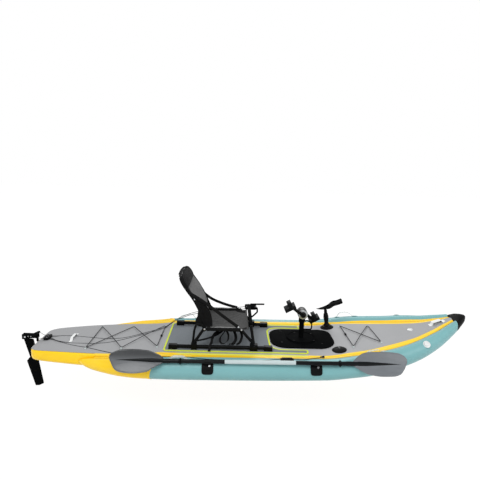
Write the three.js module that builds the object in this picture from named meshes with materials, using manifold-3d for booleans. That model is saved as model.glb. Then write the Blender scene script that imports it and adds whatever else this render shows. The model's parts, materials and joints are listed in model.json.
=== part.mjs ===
// Fishing kayak with a high-back seat, hand steering, pedal drive and stowed paddle.
// Millimetres. X points to the bow, Y to port, Z up. The origin is on the hull's flat bottom.
import * as THREE from 'three';
import { mergeVertices } from 'three/addons/utils/BufferGeometryUtils.js';
import Module from 'manifold-3d';

const wasm = await Module();
wasm.setup();

// Fits
const gap = 0.3;
const runningGap = 0.4;
const overrun = 5;
const roundSides = 16;
const fineSides = 24;
const cordSides = 8;
const lineSides = 6;
const bendSteps = 4;

// Hull
const hullLength = 3770;
const beam = 1050;
const tubeDiameter = 180;
const tubeDrop = 18;
const boardThickness = 150;
const sternThickness = 94;
const sternCorner = 80;
const fabricWall = 2;
const skinThickness = 3;
const boardTopCorner = 14;
const boardBottomCorner = 40;
const bowRise = 230;
const skinSetback = 8;
const capRise = 40;
const capTipHeight = 58;
const flatMargin = 5;

// Deck pad
const padThickness = 6;
const padAft = 753;
const padFore = 453;
const padHalfWidth = 310;
const padCorner = 34;
const padSideMargin = 29.5;
const padPlateMargin = 6;
const padCutBend = 110;

// Carry handles
const strapThickness = 4;
const sideHandleLength = 195;
const handleWidth = 30;
const handleRise = 22;
const bowHandleLength = 143;
const bowHandleWidth = 44;
const sternHandleLength = 183;
const sternHandleWidth = 22;
const sternHandleSetback = 297;
const bowHandleSetback = 245;
const rearHandlePlace = 608;
const foreHandlePlace = 952;
const rearHandleFlat = 3;
const foreHandleFlat = 4;

// Valve
const valveSetback = 479;
const valveRadius = 25;
const valveHeight = 9;
const valveBore = 8;

// Bungees
const bungeeRadius = 3;
const bungeeStandOff = 13;
const bungeeCross = 8;
const bungeeEyeRadius = 15;
const bungeeEyeTopRadius = 9;
const rearBungeeSetback = 480;
const rearBungeeSpacing = 297;
const rearBungeeHalfWidth = 235;
const foreBungeeSetback = 800;
const foreBungeeLength = 247;
const foreBungeeAftHalfWidth = 231;
const foreBungeeForeHalfWidth = 192;

// Seat
const railSpacing = 530;
const railAft = 710;
const railFore = 150;
const railRadius = 15;
const railHeight = 28;
const railEndLength = 70;
const railEndWidth = 40;
const railEndHeight = 38;
const frameSpacing = 504;
const frameTubeRadius = 12.5;
const footAft = 501;
const footFore = 6;
const footLength = 46;
const footForeLength = 64;
const footWidth = 44;
const footHeight = 52;
const footDrop = 19;
const seatSideHeight = 176;
const seatSideAft = 423;
const seatSideFore = 112;
const crossbarPlace = 34;
const crossbarHeight = 218;
const crossbarRadius = 16;
const backPivotPlace = 420;
const pivotPinRadius = 5;
const pivotEyeRadius = 17;
const backTubeRadius = 11;
const backSpacing = 448;
const backHeight = 418;
const backReach = 205;
const backCorner = 72;
const panelStart = 52;
const panelHalfWidth = 234;
const panelStandOff = 2;
const headThickness = 34;
const slingThickness = 6;
const slingSag = 46;
const slingDrop = 14;
const backStrapWidth = 28;
const backStrapThickness = 3;
const knobRadius = 15;
const knobLength = 16;
const knobHeight = 42;

// Steering
const steeringBoxLength = 110;
const steeringBoxWidth = 95;
const steeringBoxThickness = 26;
const steeringBoxPlace = -12;
const steeringBoxSide = 345;
const steeringBoxHeight = 160;
const steeringArmRadius = 8;
const steeringClampHeight = 98;
const steeringClampSize = 30;
const leverHubRadius = 16;
const leverHubHeight = 12;
const leverRadius = 7;
const leverLength = 150;
const leverPivotPlace = -29;
const guideBlockSetback = 70;
const guideBlockLength = 50;
const guideBlockWidth = 92;
const guideBlockHeight = 24;
const cableRadius = 2.5;
const cleatPlace = 252;
const cleatLength = 107;
const cleatWidth = 50;
const cleatBaseThickness = 6;
const cleatJawHeight = 12;
const cleatJawLength = 80;
const cleatTilt = 81;
const toggleRadius = 9;
const toggleLength = 34;

// Rudder
const pinSetback = 23;
const pinRadius = 4;
const lugRadius = 10;
const lugThickness = 8;
const upperLugDrop = 10;
const lowerLugDrop = 56;
const bracketThickness = 6;
const bracketWidth = 74;
const bracketHeight = 78;
const yokeThickness = 6;
const yokeHeight = 41;
const yokeSpan = 143;
const yokeWing = 26;
const yokeSetback = 14;
const headWidth = 40;
const bladeThickness = 12;
const bladePivotSetback = 100;
const bladePivotHeight = 26;
const bladeEyeRadius = 22;
const bladeBoltRadius = 4;
const bladeBoltHeadRadius = 8;
const bladeBoltHeadThickness = 4;
const bladeDepth = 467;
const bladeReach = 136;

// Pedal drive
const drivePlace = 431;
const plateLength = 558;
const plateWidth = 411;
const plateCorner = 130;
const plateThickness = 12;
const wellLength = 240;
const wellWidth = 90;
const wellLining = 4;
const baseRadius = 134;
const baseThickness = 10;
const columnRadius = 22;
const columnHeight = 166;
const columnCapRadius = 29;
const columnCapHeight = 35;
const liftHandleRadius = 6;
const liftHandleReach = 90;
const liftHandleLow = 96;
const legLength = 74;
const legWidth = 26;
const crankHeight = 245;
const headRadius = 44;
const headCavityRadius = 38;
const headHalfWidth = 46;
const headCoverThickness = 10;
const headCoverRadius = 42;
const axleRadius = 12;
const axleHalfLength = 74;
const crankLength = 160;
const crankWidth = 30;
const crankThickness = 14;
const crankClearance = 12;
const crankAngle = 145;
const spindleRadius = 6;
const spindleLength = 112;
const pedalWidth = 100;
const pedalLength = 98;
const pedalThickness = 28;
const pedalTilt = -28;
const pedalStrapRise = 52;
const pedalStrapWidth = 36;
const shaftRadius = 6;
const shaftBore = 8;
const pinionBore = 15;
const crankGearRadius = 30;
const pinionRadius = 10;
const crankGearTeeth = 24;
const pinionTeeth = 8;
const lowerGearRadius = 14;
const propPinionRadius = 7;
const lowerGearTeeth = 16;
const gearBack = 8;
const gearFaceShare = 0.74;
const propDepth = 318;
const gearCaseRadius = 28;
const gearCaseCavity = 22;
const gearCaseAft = 86;
const gearCaseFore = 92;
const propHubRadius = 17;
const propHubLength = 34;
const propRadius = 140;
const propChord = 46;
const propBladeThickness = 4;
const propShaftRadius = 5;

// Rod holder and accessory base
const rodHolderPlace = 719;
const rodHolderSide = 252;
const holderBaseRadius = 62;
const holderBaseHeight = 26;
const holderPostRadius = 15;
const holderPostHeight = 155;
const earThickness = 5;
const rodTubeRadius = 26;
const rodTubeBore = 21;
const rodTubeLength = 262;
const rodTubeRise = 20;
const rodTubeYaw = -4;
const accessoryPlace = 716;
const accessorySide = 250;
const accessoryHeight = 24;

// Paddle
const paddleLength = 2330;
const paddleMiddle = 20;
const paddleShaftRadius = 16;
const paddleSpread = 75;
const paddleLift = 94;
const bladeLength = 430;
const paddleBladeWidth = 188;
const paddleBladeThickness = 8;
const bladeFeather = 22;
const paddleFlare = 0.016;
const neckRadius = 17;
const neckTipRadius = 5;
const neckShare = 0.72;
const aftKeeperPlace = 373;
const foreKeeperPlace = 475;
const keeperLength = 62;
const keeperArm = 5;
const keeperArmHeight = 34;
const keeperWrapThickness = 4;
const keeperWrapLift = 2.8;
const keeperWrapStart = 14;
const keeperWrapEnd = 62;

// Working values from the sizes above
const bow = hullLength / 2;
const stern = -bow;
const deck = boardThickness;
const tubeRadius = tubeDiameter / 2;
const boardHalfWidth = beam / 2 - tubeDiameter - gap;
const flatAft = -padAft - flatMargin;
const flatFore = drivePlace + baseRadius + flatMargin;
const padCutAft = drivePlace - plateLength / 2 - padPlateMargin;
const padInnerHalfWidth = plateWidth / 2 + padSideMargin;
const sternHandlePlace = stern + sternHandleSetback;
const bowHandlePlace = bow - bowHandleSetback;
const valvePlace = bow - valveSetback;
const guideBlockPlace = stern + guideBlockSetback;
const rearBungeeAft = stern + rearBungeeSetback;
const rearBungeeMiddle = rearBungeeAft + rearBungeeSpacing;
const rearBungeeFore = rearBungeeMiddle + rearBungeeSpacing;
const foreBungeeFore = bow - foreBungeeSetback;
const foreBungeeAft = foreBungeeFore - foreBungeeLength;

const vec = (x, y, z) => new THREE.Vector3(x, y, z);
const degrees = (angle) => THREE.MathUtils.degToRad(angle);

// Smooth curve through a table of [place, value] pairs, without overshoot
function follow(table, place) {
  const last = table.length - 1;
  if (place <= table[0][0]) return table[0][1];
  if (place >= table[last][0]) return table[last][1];
  const slope = (i) => (table[i + 1][1] - table[i][1]) / (table[i + 1][0] - table[i][0]);
  const tangent = (i) => {
    if (i === 0) return slope(0);
    if (i === last) return slope(last - 1);
    const before = slope(i - 1);
    const after = slope(i);
    return before * after <= 0 ? 0 : 2 * before * after / (before + after);
  };
  const i = table.findIndex((entry, k) => k < last && place < table[k + 1][0]);
  const width = table[i + 1][0] - table[i][0];
  const t = (place - table[i][0]) / width;
  const rise = (1 + 2 * t) * (1 - t) ** 2 * table[i][1] + t * t * (3 - 2 * t) * table[i + 1][1];
  return rise + width * (t * (1 - t) ** 2 * tangent(i) + t * t * (t - 1) * tangent(i + 1));
}

// Shapes of the hull along its length, each as [zone share, share of a size]. Zone shares run from
// -2 at the stern to -1 where the deck becomes flat, 1 where it starts to rise, and 2 at the bow.
const boardWidthShares = [[-2, 0.68], [-1.905, 0.737], [-1.745, 0.85], [-1.631, 0.903],
  [-1.496, 0.957], [-1.397, 0.985], [-1.3, 1], [1.2, 1], [1.292, 0.969], [1.371, 0.914],
  [1.451, 0.847], [1.507, 0.783], [1.566, 0.699], [1.627, 0.615], [1.692, 0.499], [1.756, 0.38],
  [1.818, 0.267], [1.8707, 0.175], [1.9087, 0.12]];
const tubeRadiusShares = [[-1.605, 0.03], [-1.568, 0.22], [-1.525, 0.38], [-1.481, 0.478],
  [-1.4366, 0.556], [-1.392, 0.611], [-1.33, 0.69], [-1.259, 0.79], [-1.17, 0.867],
  [-1.082, 0.911], [-1, 0.944], [-0.61, 0.98], [-0.2, 1], [1.17, 1], [1.212, 0.99],
  [1.292, 0.967], [1.371, 0.933], [1.451, 0.9], [1.507, 0.878], [1.566, 0.867], [1.627, 0.844],
  [1.692, 0.811], [1.756, 0.744], [1.818, 0.656], [1.8707, 0.556], [1.9087, 0.467]];
const deckEdgeShares = [[-2, 0.955], [1.06, 0.955], [1.151, 0.924], [1.229, 0.893], [1.31, 0.867],
  [1.394, 0.82], [1.478, 0.793], [1.567, 0.768], [1.657, 0.74], [1.722, 0.69], [1.783, 0.68],
  [1.814, 0.65], [1.8707, 0.6], [1.9087, 0.5]];
const deckRiseShares = [[1, 0], [1.053, 0.026], [1.175, 0.126], [1.292, 0.196], [1.371, 0.257],
  [1.451, 0.313], [1.507, 0.361], [1.566, 0.413], [1.627, 0.474], [1.692, 0.561], [1.756, 0.665],
  [1.818, 0.804], [1.8707, 0.913], [1.9087, 1]];
const sternDropShares = [[-2, 1], [-1.905, 0.84], [-1.745, 0.68], [-1.631, 0.59], [-1.496, 0.52],
  [-1.397, 0.45], [-1.286, 0.39], [-1.126, 0.25], [-1, 0]];
const bowThinShares = [[1.371, 0], [1.627, 0.1], [1.756, 0.25], [1.8707, 0.44], [1.9087, 0.5]];
const crownShares = [[-1.605, -0.64], [-1.568, -0.43], [-1.525, -0.267], [-1.481, -0.233],
  [-1.4366, -0.2], [-1.392, -0.167], [-1.33, -0.1], [-1.259, -0.03], [-1.17, 0], [-1, 0.01],
  [-0.61, 0.05], [-0.2, 0.1], [0.4, 0.133], [1, 0.155], [1.06, 0.145], [1.175, 0.167],
  [1.212, 0.2], [1.292, 0.262], [1.507, 0.267], [1.566, 0.3], [1.627, 0.344], [1.692, 0.333],
  [1.756, 0.25], [1.818, 0.18], [1.8707, 0.14], [1.9087, 0.1]];
const tubeBottomShares = [[-1.605, 0.8], [-1.568, 0.6], [-1.525, 0.456], [-1.481, 0.344],
  [-1.4366, 0.256], [-1.392, 0.2], [-1.33, 0.11], [-1.259, 0.022], [-1.17, -0.03], [-1.082, -0.05],
  [-0.61, -0.02], [-0.2, 0], [0, 0.03], [0.55, 0.12], [1, 0.23], [1.06, 0.31], [1.1, 0.37],
  [1.175, 0.53], [1.212, 0.61], [1.292, 0.72], [1.371, 0.93], [1.451, 1.18], [1.507, 1.31],
  [1.566, 1.48], [1.627, 1.72], [1.692, 2.01], [1.756, 2.31], [1.818, 2.68], [1.8707, 3.06],
  [1.9087, 3.37]];
const stripReachShares = [[1, 1], [1.21, 1.96]];
const stationShares = [-1.83, -1.605, -1.56, -1.481, -1.4, -1.28, -1.13, -1, -0.5, 1, 1.053, 1.175,
  1.292, 1.42, 1.54, 1.627, 1.7, 1.765, 1.82, 1.865, 1.9087];
const cornerShares = [0, 0.12, 0.45, 1];

function zoneOf(x) {
  if (x < flatAft) return -1 - (flatAft - x) / (flatAft - stern);
  if (x > flatFore) return 1 + (x - flatFore) / (bow - flatFore);
  return 2 * (x - flatAft) / (flatFore - flatAft) - 1;
}

function placeOf(zone) {
  if (zone < -1) return flatAft + (zone + 1) * (flatAft - stern);
  if (zone > 1) return flatFore + (zone - 1) * (bow - flatFore);
  return THREE.MathUtils.lerp(flatAft, flatFore, (zone + 1) / 2);
}

// One record of the hull's section at a place along X
function measureHull(x) {
  const zone = zoneOf(x);
  const fromStern = x - stern;
  const cornerReach = Math.max(sternCorner - fromStern, 0);
  const rounding = sternCorner - Math.sqrt(sternCorner ** 2 - cornerReach ** 2);
  const board = boardHalfWidth * follow(boardWidthShares, zone) - rounding;
  const rise = bowRise * follow(deckRiseShares, zone);
  const top = deck + rise - (boardThickness - sternThickness) * follow(sternDropShares, zone);
  const radius = tubeRadius * follow(tubeRadiusShares, zone);
  const crown = top + tubeRadius * follow(crownShares, zone);
  const low = -tubeDrop + tubeRadius * follow(tubeBottomShares, zone);
  return {
    board, top,
    bottom: rise + boardThickness * follow(bowThinShares, zone),
    edge: board * follow(deckEdgeShares, zone),
    tubeCentre: board + gap + radius,
    tubeHeight: (crown + low) / 2,
    tubeHalfWidth: radius,
    tubeHalfHeight: (crown - low) / 2,
    stripReach: follow(stripReachShares, zone),
  };
}

const hullPlaces = [
  ...cornerShares.map((share) => stern + share * sternCorner),
  ...stationShares.map(placeOf),
];
const hullRecords = hullPlaces.map(measureHull);
const nose = hullPlaces[hullPlaces.length - 1];
const tubeTail = placeOf(stationShares[1]);
const stripTail = placeOf(stationShares[3]);

// The faceted hull's section at any place, straight between the stations
function hullAt(x) {
  const found = hullPlaces.findIndex((place) => place >= x);
  const next = Math.max(found < 0 ? hullPlaces.length - 1 : found, 1);
  const t = (x - hullPlaces[next - 1]) / (hullPlaces[next] - hullPlaces[next - 1]);
  const record = {};
  for (const key of Object.keys(hullRecords[0])) {
    record[key] = THREE.MathUtils.lerp(hullRecords[next - 1][key], hullRecords[next][key], t);
  }
  return record;
}

function deckNormal(x) {
  const climb = hullAt(x + bungeeEyeRadius).top - hullAt(x - bungeeEyeRadius).top;
  return vec(-climb, 0, 2 * bungeeEyeRadius).normalize();
}

// Point and outward direction on a side tube: side is 1 to port, angle is measured from level
function onTube(x, side, angle, lift) {
  const h = hullAt(x);
  const c = Math.cos(degrees(angle));
  const s = Math.sin(degrees(angle));
  const normal = vec(0, side * c * h.tubeHalfHeight, s * h.tubeHalfWidth).normalize();
  const point = vec(x, side * (h.tubeCentre + h.tubeHalfWidth * c), h.tubeHeight + h.tubeHalfHeight * s);
  return { point: point.addScaledVector(normal, lift), normal };
}

// Middle of one flat of the faceted tube: flats are counted up from level, outboard first
function onTubeFlat(x, side, flat, lift) {
  const h = hullAt(x);
  const corner = (k) => {
    const angle = 2 * Math.PI * k / roundSides;
    const y = side * (h.tubeCentre + h.tubeHalfWidth * Math.cos(angle));
    return vec(x, y, h.tubeHeight + h.tubeHalfHeight * Math.sin(angle));
  };
  const low = corner(flat);
  const high = corner(flat + 1);
  const slope = high.clone().sub(low);
  const normal = vec(0, side * slope.z, Math.abs(slope.y)).normalize();
  return { point: low.add(high).multiplyScalar(0.5).addScaledVector(normal, lift), normal };
}

// Closed solid through rings of points that all have the same count
function loft(rings) {
  const count = rings[0].length;
  const index = [];
  for (let s = 0; s + 1 < rings.length; s += 1) {
    for (let i = 0; i < count; i += 1) {
      const a = s * count + i;
      const b = s * count + (i + 1) % count;
      index.push(a, b, b + count, a, b + count, a + count);
    }
  }
  const capFaces = (ring, offset, flip) => {
    const normal = vec(0, 0, 0);
    ring.forEach((p, i) => {
      const q = ring[(i + 1) % count];
      normal.add(vec((p.y - q.y) * (p.z + q.z), (p.z - q.z) * (p.x + q.x), (p.x - q.x) * (p.y + q.y)));
    });
    normal.normalize();
    const side = vec(0, 0, 0).copy(ring[1]).sub(ring[0]).normalize();
    const across = normal.clone().cross(side);
    const outline = ring.map((p) => new THREE.Vector2(p.dot(side), p.dot(across)));
    for (const [a, b, c] of THREE.ShapeUtils.triangulateShape(outline, [])) {
      const turn = outline[b].clone().sub(outline[a]).cross(outline[c].clone().sub(outline[a]));
      const forward = turn > 0 !== flip;
      index.push(offset + a, offset + (forward ? b : c), offset + (forward ? c : b));
    }
  };
  capFaces(rings[0], 0, true);
  capFaces(rings[rings.length - 1], (rings.length - 1) * count, false);
  const geometry = new THREE.BufferGeometry();
  const places = rings.flat().flatMap((p) => [p.x, p.y, p.z]);
  geometry.setAttribute('position', new THREE.Float32BufferAttribute(places, 3));
  geometry.setIndex(index);
  return geometry;
}

// Manifold solid of a closed geometry, turned to face outwards
function solid(geometry) {
  const bare = geometry.clone();
  bare.deleteAttribute('normal');
  bare.deleteAttribute('uv');
  const merged = mergeVertices(bare, gap / 100);
  const p = merged.attributes.position;
  const source = merged.index.array;
  const faces = [];
  let volume = 0;
  for (let i = 0; i < source.length; i += 3) {
    const [a, b, c] = [source[i], source[i + 1], source[i + 2]];
    if (a === b || b === c || c === a) continue;
    faces.push(a, b, c);
    const corner = (k) => vec(p.getX(k), p.getY(k), p.getZ(k));
    volume += corner(a).dot(corner(b).cross(corner(c)));
  }
  const triVerts = new Uint32Array(volume < 0 ? faces.reverse() : faces);
  return new wasm.Manifold(new wasm.Mesh({ numProp: 3, vertProperties: new Float32Array(p.array), triVerts }));
}

function joined(...geometries) {
  const solids = geometries.map((g) => (g.isBufferGeometry ? solid(g) : g));
  return solids.reduce((whole, piece) => whole.add(piece));
}

function part(name, shape, colour, roughness, metalness) {
  const mesh = (shape.isBufferGeometry ? solid(shape) : shape).getMesh();
  const geometry = new THREE.BufferGeometry();
  geometry.setAttribute('position', new THREE.BufferAttribute(mesh.vertProperties, 3));
  geometry.setIndex(new THREE.BufferAttribute(mesh.triVerts, 1));
  geometry.computeVertexNormals();
  const material = new THREE.MeshStandardMaterial({ color: colour, roughness, metalness });
  const result = new THREE.Mesh(geometry, material);
  result.name = name;
  return result;
}

// Straight round bar between two points
function rod(from, to, radius, endRadius = radius, sides = roundSides) {
  const length = from.distanceTo(to);
  const geometry = new THREE.CylinderGeometry(endRadius, radius, length, sides);
  geometry.applyQuaternion(new THREE.Quaternion().setFromUnitVectors(
    vec(0, 1, 0), to.clone().sub(from).normalize()));
  return geometry.translate(...from.clone().add(to).multiplyScalar(0.5).toArray());
}

function block(from, to) {
  const size = to.clone().sub(from);
  const geometry = new THREE.BoxGeometry(size.x, size.y, size.z);
  return geometry.translate(...from.clone().add(to).multiplyScalar(0.5).toArray());
}

// Route through points whose inner corners are rounded
function bend(points, radius, steps = bendSteps) {
  const route = [points[0]];
  for (let i = 1; i + 1 < points.length; i += 1) {
    const corner = points[i];
    const back = points[i - 1].clone().sub(corner).normalize();
    const ahead = points[i + 1].clone().sub(corner).normalize();
    const half = back.angleTo(ahead) / 2;
    const reach = radius / Math.tan(half);
    const start = corner.clone().addScaledVector(back, reach);
    const end = corner.clone().addScaledVector(ahead, reach);
    const curve = new THREE.QuadraticBezierCurve3(start, corner, end);
    route.push(...curve.getPoints(steps));
  }
  route.push(points[points.length - 1]);
  return route;
}

// Path that visits its points one by one, for a tube with a ring at each
class Route extends THREE.Curve {
  constructor(points) {
    super();
    this.points = points;
  }

  getPointAt(u) {
    const place = u * (this.points.length - 1);
    const i = Math.min(Math.round(place), this.points.length - 1);
    return this.points[i].clone();
  }

  getTangentAt(u) {
    const i = Math.round(u * (this.points.length - 1));
    const before = this.points[Math.max(i - 1, 0)];
    const here = this.points[i];
    const after = this.points[Math.min(i + 1, this.points.length - 1)];
    const arrive = here.clone().sub(before).normalize();
    const leave = after.clone().sub(here).normalize();
    return arrive.add(leave).normalize();
  }
}

function tube(points, radius, sides = roundSides) {
  const outline = Array.from({ length: sides }, (_, i) => {
    const angle = 2 * Math.PI * i / sides;
    return new THREE.Vector2(radius * Math.cos(angle), radius * Math.sin(angle));
  });
  return new THREE.ExtrudeGeometry(new THREE.Shape(outline), {
    steps: points.length - 1, extrudePath: new Route(points), bevelEnabled: false,
  });
}

// Flat strap along points, with its width in a given direction
function band(points, across, width, thickness) {
  const wide = across.clone().normalize().multiplyScalar(width / 2);
  const rings = points.map((p, i) => {
    const before = points[Math.max(i - 1, 0)];
    const after = points[Math.min(i + 1, points.length - 1)];
    const along = after.clone().sub(before).normalize();
    const thick = along.cross(across).normalize().multiplyScalar(thickness / 2);
    return [
      p.clone().add(wide).add(thick), p.clone().sub(wide).add(thick),
      p.clone().sub(wide).sub(thick), p.clone().add(wide).sub(thick),
    ];
  });
  return loft(rings);
}

function slab(outline, thickness, curveSegments = bendSteps * 2) {
  const shape = outline instanceof THREE.Shape ? outline : new THREE.Shape(outline);
  return new THREE.ExtrudeGeometry(shape, { depth: thickness, bevelEnabled: false, curveSegments });
}

function roundedOutline(length, width, corner) {
  const x = length / 2;
  const y = width / 2;
  const shape = new THREE.Shape();
  shape.moveTo(corner - x, -y);
  shape.lineTo(x - corner, -y);
  shape.absarc(x - corner, corner - y, corner, -Math.PI / 2, 0, false);
  shape.lineTo(x, y - corner);
  shape.absarc(x - corner, y - corner, corner, 0, Math.PI / 2, false);
  shape.lineTo(corner - x, y);
  shape.absarc(corner - x, y - corner, corner, Math.PI / 2, Math.PI, false);
  shape.lineTo(-x, corner - y);
  shape.absarc(corner - x, corner - y, corner, Math.PI, 3 * Math.PI / 2, false);
  return shape;
}

// Hull pieces

function boardRing(x, inset) {
  const h = hullAt(x);
  const side = h.board - inset;
  const low = h.bottom + inset;
  const high = h.top - skinThickness - gap - inset;
  const lowCorner = boardBottomCorner - inset;
  const highCorner = boardTopCorner - inset;
  const soft = 1 - Math.SQRT1_2;
  const half = [
    [side - lowCorner, low], [side - lowCorner * soft, low + lowCorner * soft],
    [side, low + lowCorner], [side, high - highCorner],
    [side - highCorner * soft, high - highCorner * soft], [side - highCorner, high],
  ];
  const mirrored = half.map(([y, z]) => [-y, z]).reverse();
  return [...half, ...mirrored].map(([y, z]) => vec(x, y, z));
}

function tubeRing(x, side, inset) {
  const h = hullAt(x);
  return Array.from({ length: roundSides }, (_, i) => {
    const angle = 2 * Math.PI * i / roundSides;
    const y = h.tubeCentre + (h.tubeHalfWidth - inset) * Math.cos(angle);
    return vec(x, side * y, h.tubeHeight + (h.tubeHalfHeight - inset) * Math.sin(angle));
  });
}

// The strip lies on the board's edge and the tube's shoulder and fills the groove between them
function stripRing(x, side) {
  const h = hullAt(x);
  const boardTop = h.top - skinThickness - gap;
  const soft = boardTopCorner * (1 - Math.SQRT1_2);
  const shoulder = (corner, lift) => {
    const angle = Math.PI / 2 + 2 * Math.PI * corner / roundSides;
    return [h.tubeCentre + (h.tubeHalfWidth + lift) * Math.cos(angle),
      h.tubeHeight + (h.tubeHalfHeight + lift) * Math.sin(angle)];
  };
  const groove = shoulder(3, 2 * gap);
  const joint = Math.min(groove[1], boardTop - boardTopCorner - gap);
  return [
    [h.edge + gap, boardTop + gap], [h.edge + gap, h.top],
    shoulder(h.stripReach, 2 * gap + skinThickness), shoulder(h.stripReach, 2 * gap),
    shoulder(2, 2 * gap), groove,
    [h.board + gap, joint], [h.board + gap, boardTop - boardTopCorner],
    [h.board + gap - soft, boardTop + gap - soft], [h.board - boardTopCorner, boardTop + gap],
  ].map(([y, z]) => vec(x, side * y, z));
}

function floorBoard() {
  const outer = solid(loft(hullPlaces.map((x) => boardRing(x, 0))));
  const inside = hullPlaces.slice(1, -1).map((x) => boardRing(x, fabricWall));
  const well = { x: wellLength / 2, y: wellWidth / 2 };
  const low = -overrun;
  const high = deck + overrun;
  const lining = solid(block(
    vec(drivePlace - well.x - wellLining, -well.y - wellLining, low),
    vec(drivePlace + well.x + wellLining, well.y + wellLining, high)));
  const opening = solid(block(
    vec(drivePlace - well.x, -well.y, low), vec(drivePlace + well.x, well.y, high)));
  const valveTop = hullAt(valvePlace).top;
  const valveHole = solid(rod(
    vec(valvePlace, 0, valveTop - skinThickness - fabricWall - overrun),
    vec(valvePlace, 0, valveTop + overrun), valveBore));
  const chamber = solid(loft(inside)).subtract(lining);
  return outer.subtract(chamber).subtract(opening).subtract(valveHole);
}

function sideTube(side) {
  const places = hullPlaces.filter((x) => x >= tubeTail);
  const outer = solid(loft(places.map((x) => tubeRing(x, side, 0))));
  const chamber = solid(loft(places.slice(1, -1).map((x) => tubeRing(x, side, fabricWall))));
  const mouth = onTube(valvePlace, side, tubeValveAngle, overrun);
  const root = mouth.point.clone().addScaledVector(mouth.normal, -2 * overrun - fabricWall);
  return outer.subtract(chamber).subtract(solid(rod(root, mouth.point, valveBore, valveBore, cordSides)));
}

const tubeValveAngle = 58;

// Sewn-on eyes that the bungees run through, as part of the skin
const bungeeEyes = [
  ...[rearBungeeAft, rearBungeeMiddle, rearBungeeFore].map((x) => [x, rearBungeeHalfWidth]),
  [foreBungeeAft, foreBungeeAftHalfWidth], [foreBungeeFore, foreBungeeForeHalfWidth],
].flatMap(([x, y]) => [[x, y], [x, -y]]);

function deckSkin() {
  const places = [stern + skinSetback, ...hullPlaces.filter((x) => x > stern + skinSetback)];
  const sheet = loft(places.map((x) => {
    const h = hullAt(x);
    const low = h.top - skinThickness;
    return [vec(x, -h.edge, low), vec(x, h.edge, low), vec(x, h.edge, h.top), vec(x, -h.edge, h.top)];
  }));
  const opening = block(
    vec(drivePlace - wellLength / 2, -wellWidth / 2, deck - overrun),
    vec(drivePlace + wellLength / 2, wellWidth / 2, deck + overrun));
  const valveTop = hullAt(valvePlace).top;
  const valveHole = rod(
    vec(valvePlace, 0, valveTop - skinThickness - overrun), vec(valvePlace, 0, valveTop + overrun), valveBore);
  const eyes = bungeeEyes.map(([x, y]) => {
    const foot = vec(x, y, hullAt(x).top);
    const normal = deckNormal(x);
    const head = foot.clone().addScaledVector(normal, bungeeStandOff - bungeeRadius - 3 * gap);
    return rod(foot.addScaledVector(normal, -skinThickness / 2), head, bungeeEyeRadius, bungeeEyeTopRadius, cordSides);
  });
  return joined(sheet, ...eyes).subtract(solid(opening)).subtract(solid(valveHole));
}

function deckPad() {
  const cutCorner = padCutAft + padCutBend;
  const shape = new THREE.Shape();
  shape.moveTo(padCorner - padAft, -padHalfWidth);
  shape.lineTo(padFore - padCorner, -padHalfWidth);
  shape.quadraticCurveTo(padFore, -padHalfWidth, padFore, padCorner - padHalfWidth);
  shape.lineTo(padFore, -padInnerHalfWidth);
  shape.lineTo(cutCorner, -padInnerHalfWidth);
  shape.quadraticCurveTo(padCutAft, -padInnerHalfWidth, padCutAft, padCutBend - padInnerHalfWidth);
  shape.lineTo(padCutAft, padInnerHalfWidth - padCutBend);
  shape.quadraticCurveTo(padCutAft, padInnerHalfWidth, cutCorner, padInnerHalfWidth);
  shape.lineTo(padFore, padInnerHalfWidth);
  shape.lineTo(padFore, padHalfWidth - padCorner);
  shape.quadraticCurveTo(padFore, padHalfWidth, padFore - padCorner, padHalfWidth);
  shape.lineTo(padCorner - padAft, padHalfWidth);
  shape.quadraticCurveTo(-padAft, padHalfWidth, -padAft, padHalfWidth - padCorner);
  shape.lineTo(-padAft, padCorner - padHalfWidth);
  shape.quadraticCurveTo(-padAft, -padHalfWidth, padCorner - padAft, -padHalfWidth);
  return slab(shape, padThickness, bendSteps).translate(0, 0, deck + gap);
}

// The cap closes the bow: each ring is a rounded block that narrows and turns up to the tip
const capPlaceShares = [0, 0.25, 0.5, 0.75, 0.92, 1];
const capWidthShares = [1, 0.78, 0.57, 0.36, 0.2, 0.09];
const capTopShares = [0, 0.55, 0.92, 1, 0.92, 0.72];
const capBottomShares = [0, 0.1, 0.38, 0.68, 0.9, 1];
const capSquareness = 0.4;

function bowCap() {
  const h = hullAt(nose);
  const halfWidth = h.tubeCentre + h.tubeHalfWidth;
  const low = h.tubeHeight - h.tubeHalfHeight;
  const climb = h.top + capRise - capTipHeight - low;
  const rings = capPlaceShares.map((share, i) => {
    const x = nose + gap + share * (bow - nose - gap);
    const width = halfWidth * capWidthShares[i];
    const top = h.top + capRise * capTopShares[i];
    const bottom = low + climb * capBottomShares[i];
    const middle = (top + bottom) / 2;
    const half = (top - bottom) / 2;
    return Array.from({ length: roundSides }, (_, k) => {
      const angle = 2 * Math.PI * k / roundSides;
      const c = Math.cos(angle);
      const s = Math.sin(angle);
      const square = Math.max(Math.abs(c), Math.abs(s)) ** capSquareness;
      return vec(x, width * c / square, middle + half * s / square);
    });
  });
  return loft(rings);
}

// Strap handle along X at its own origin: two pads on the skin and an arch between them
function strapHandle(length, width, rise) {
  const end = length / 2;
  const padReach = end - length * 0.17;
  const lift = strapThickness / 2;
  const route = bend([
    vec(-end, 0, lift), vec(-padReach, 0, lift), vec(-end * 0.5, 0, rise),
    vec(end * 0.5, 0, rise), vec(padReach, 0, lift), vec(end, 0, lift),
  ], rise / 3, 2);
  return band(route, vec(0, 1, 0), width, strapThickness);
}

function placeBetween(mesh, from, to, normal) {
  const along = to.clone().sub(from).normalize();
  const across = normal.clone().cross(along).normalize();
  const up = along.clone().cross(across);
  mesh.quaternion.setFromRotationMatrix(new THREE.Matrix4().makeBasis(along, across, up));
  mesh.position.copy(from).add(to).multiplyScalar(0.5);
  return mesh;
}

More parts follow.
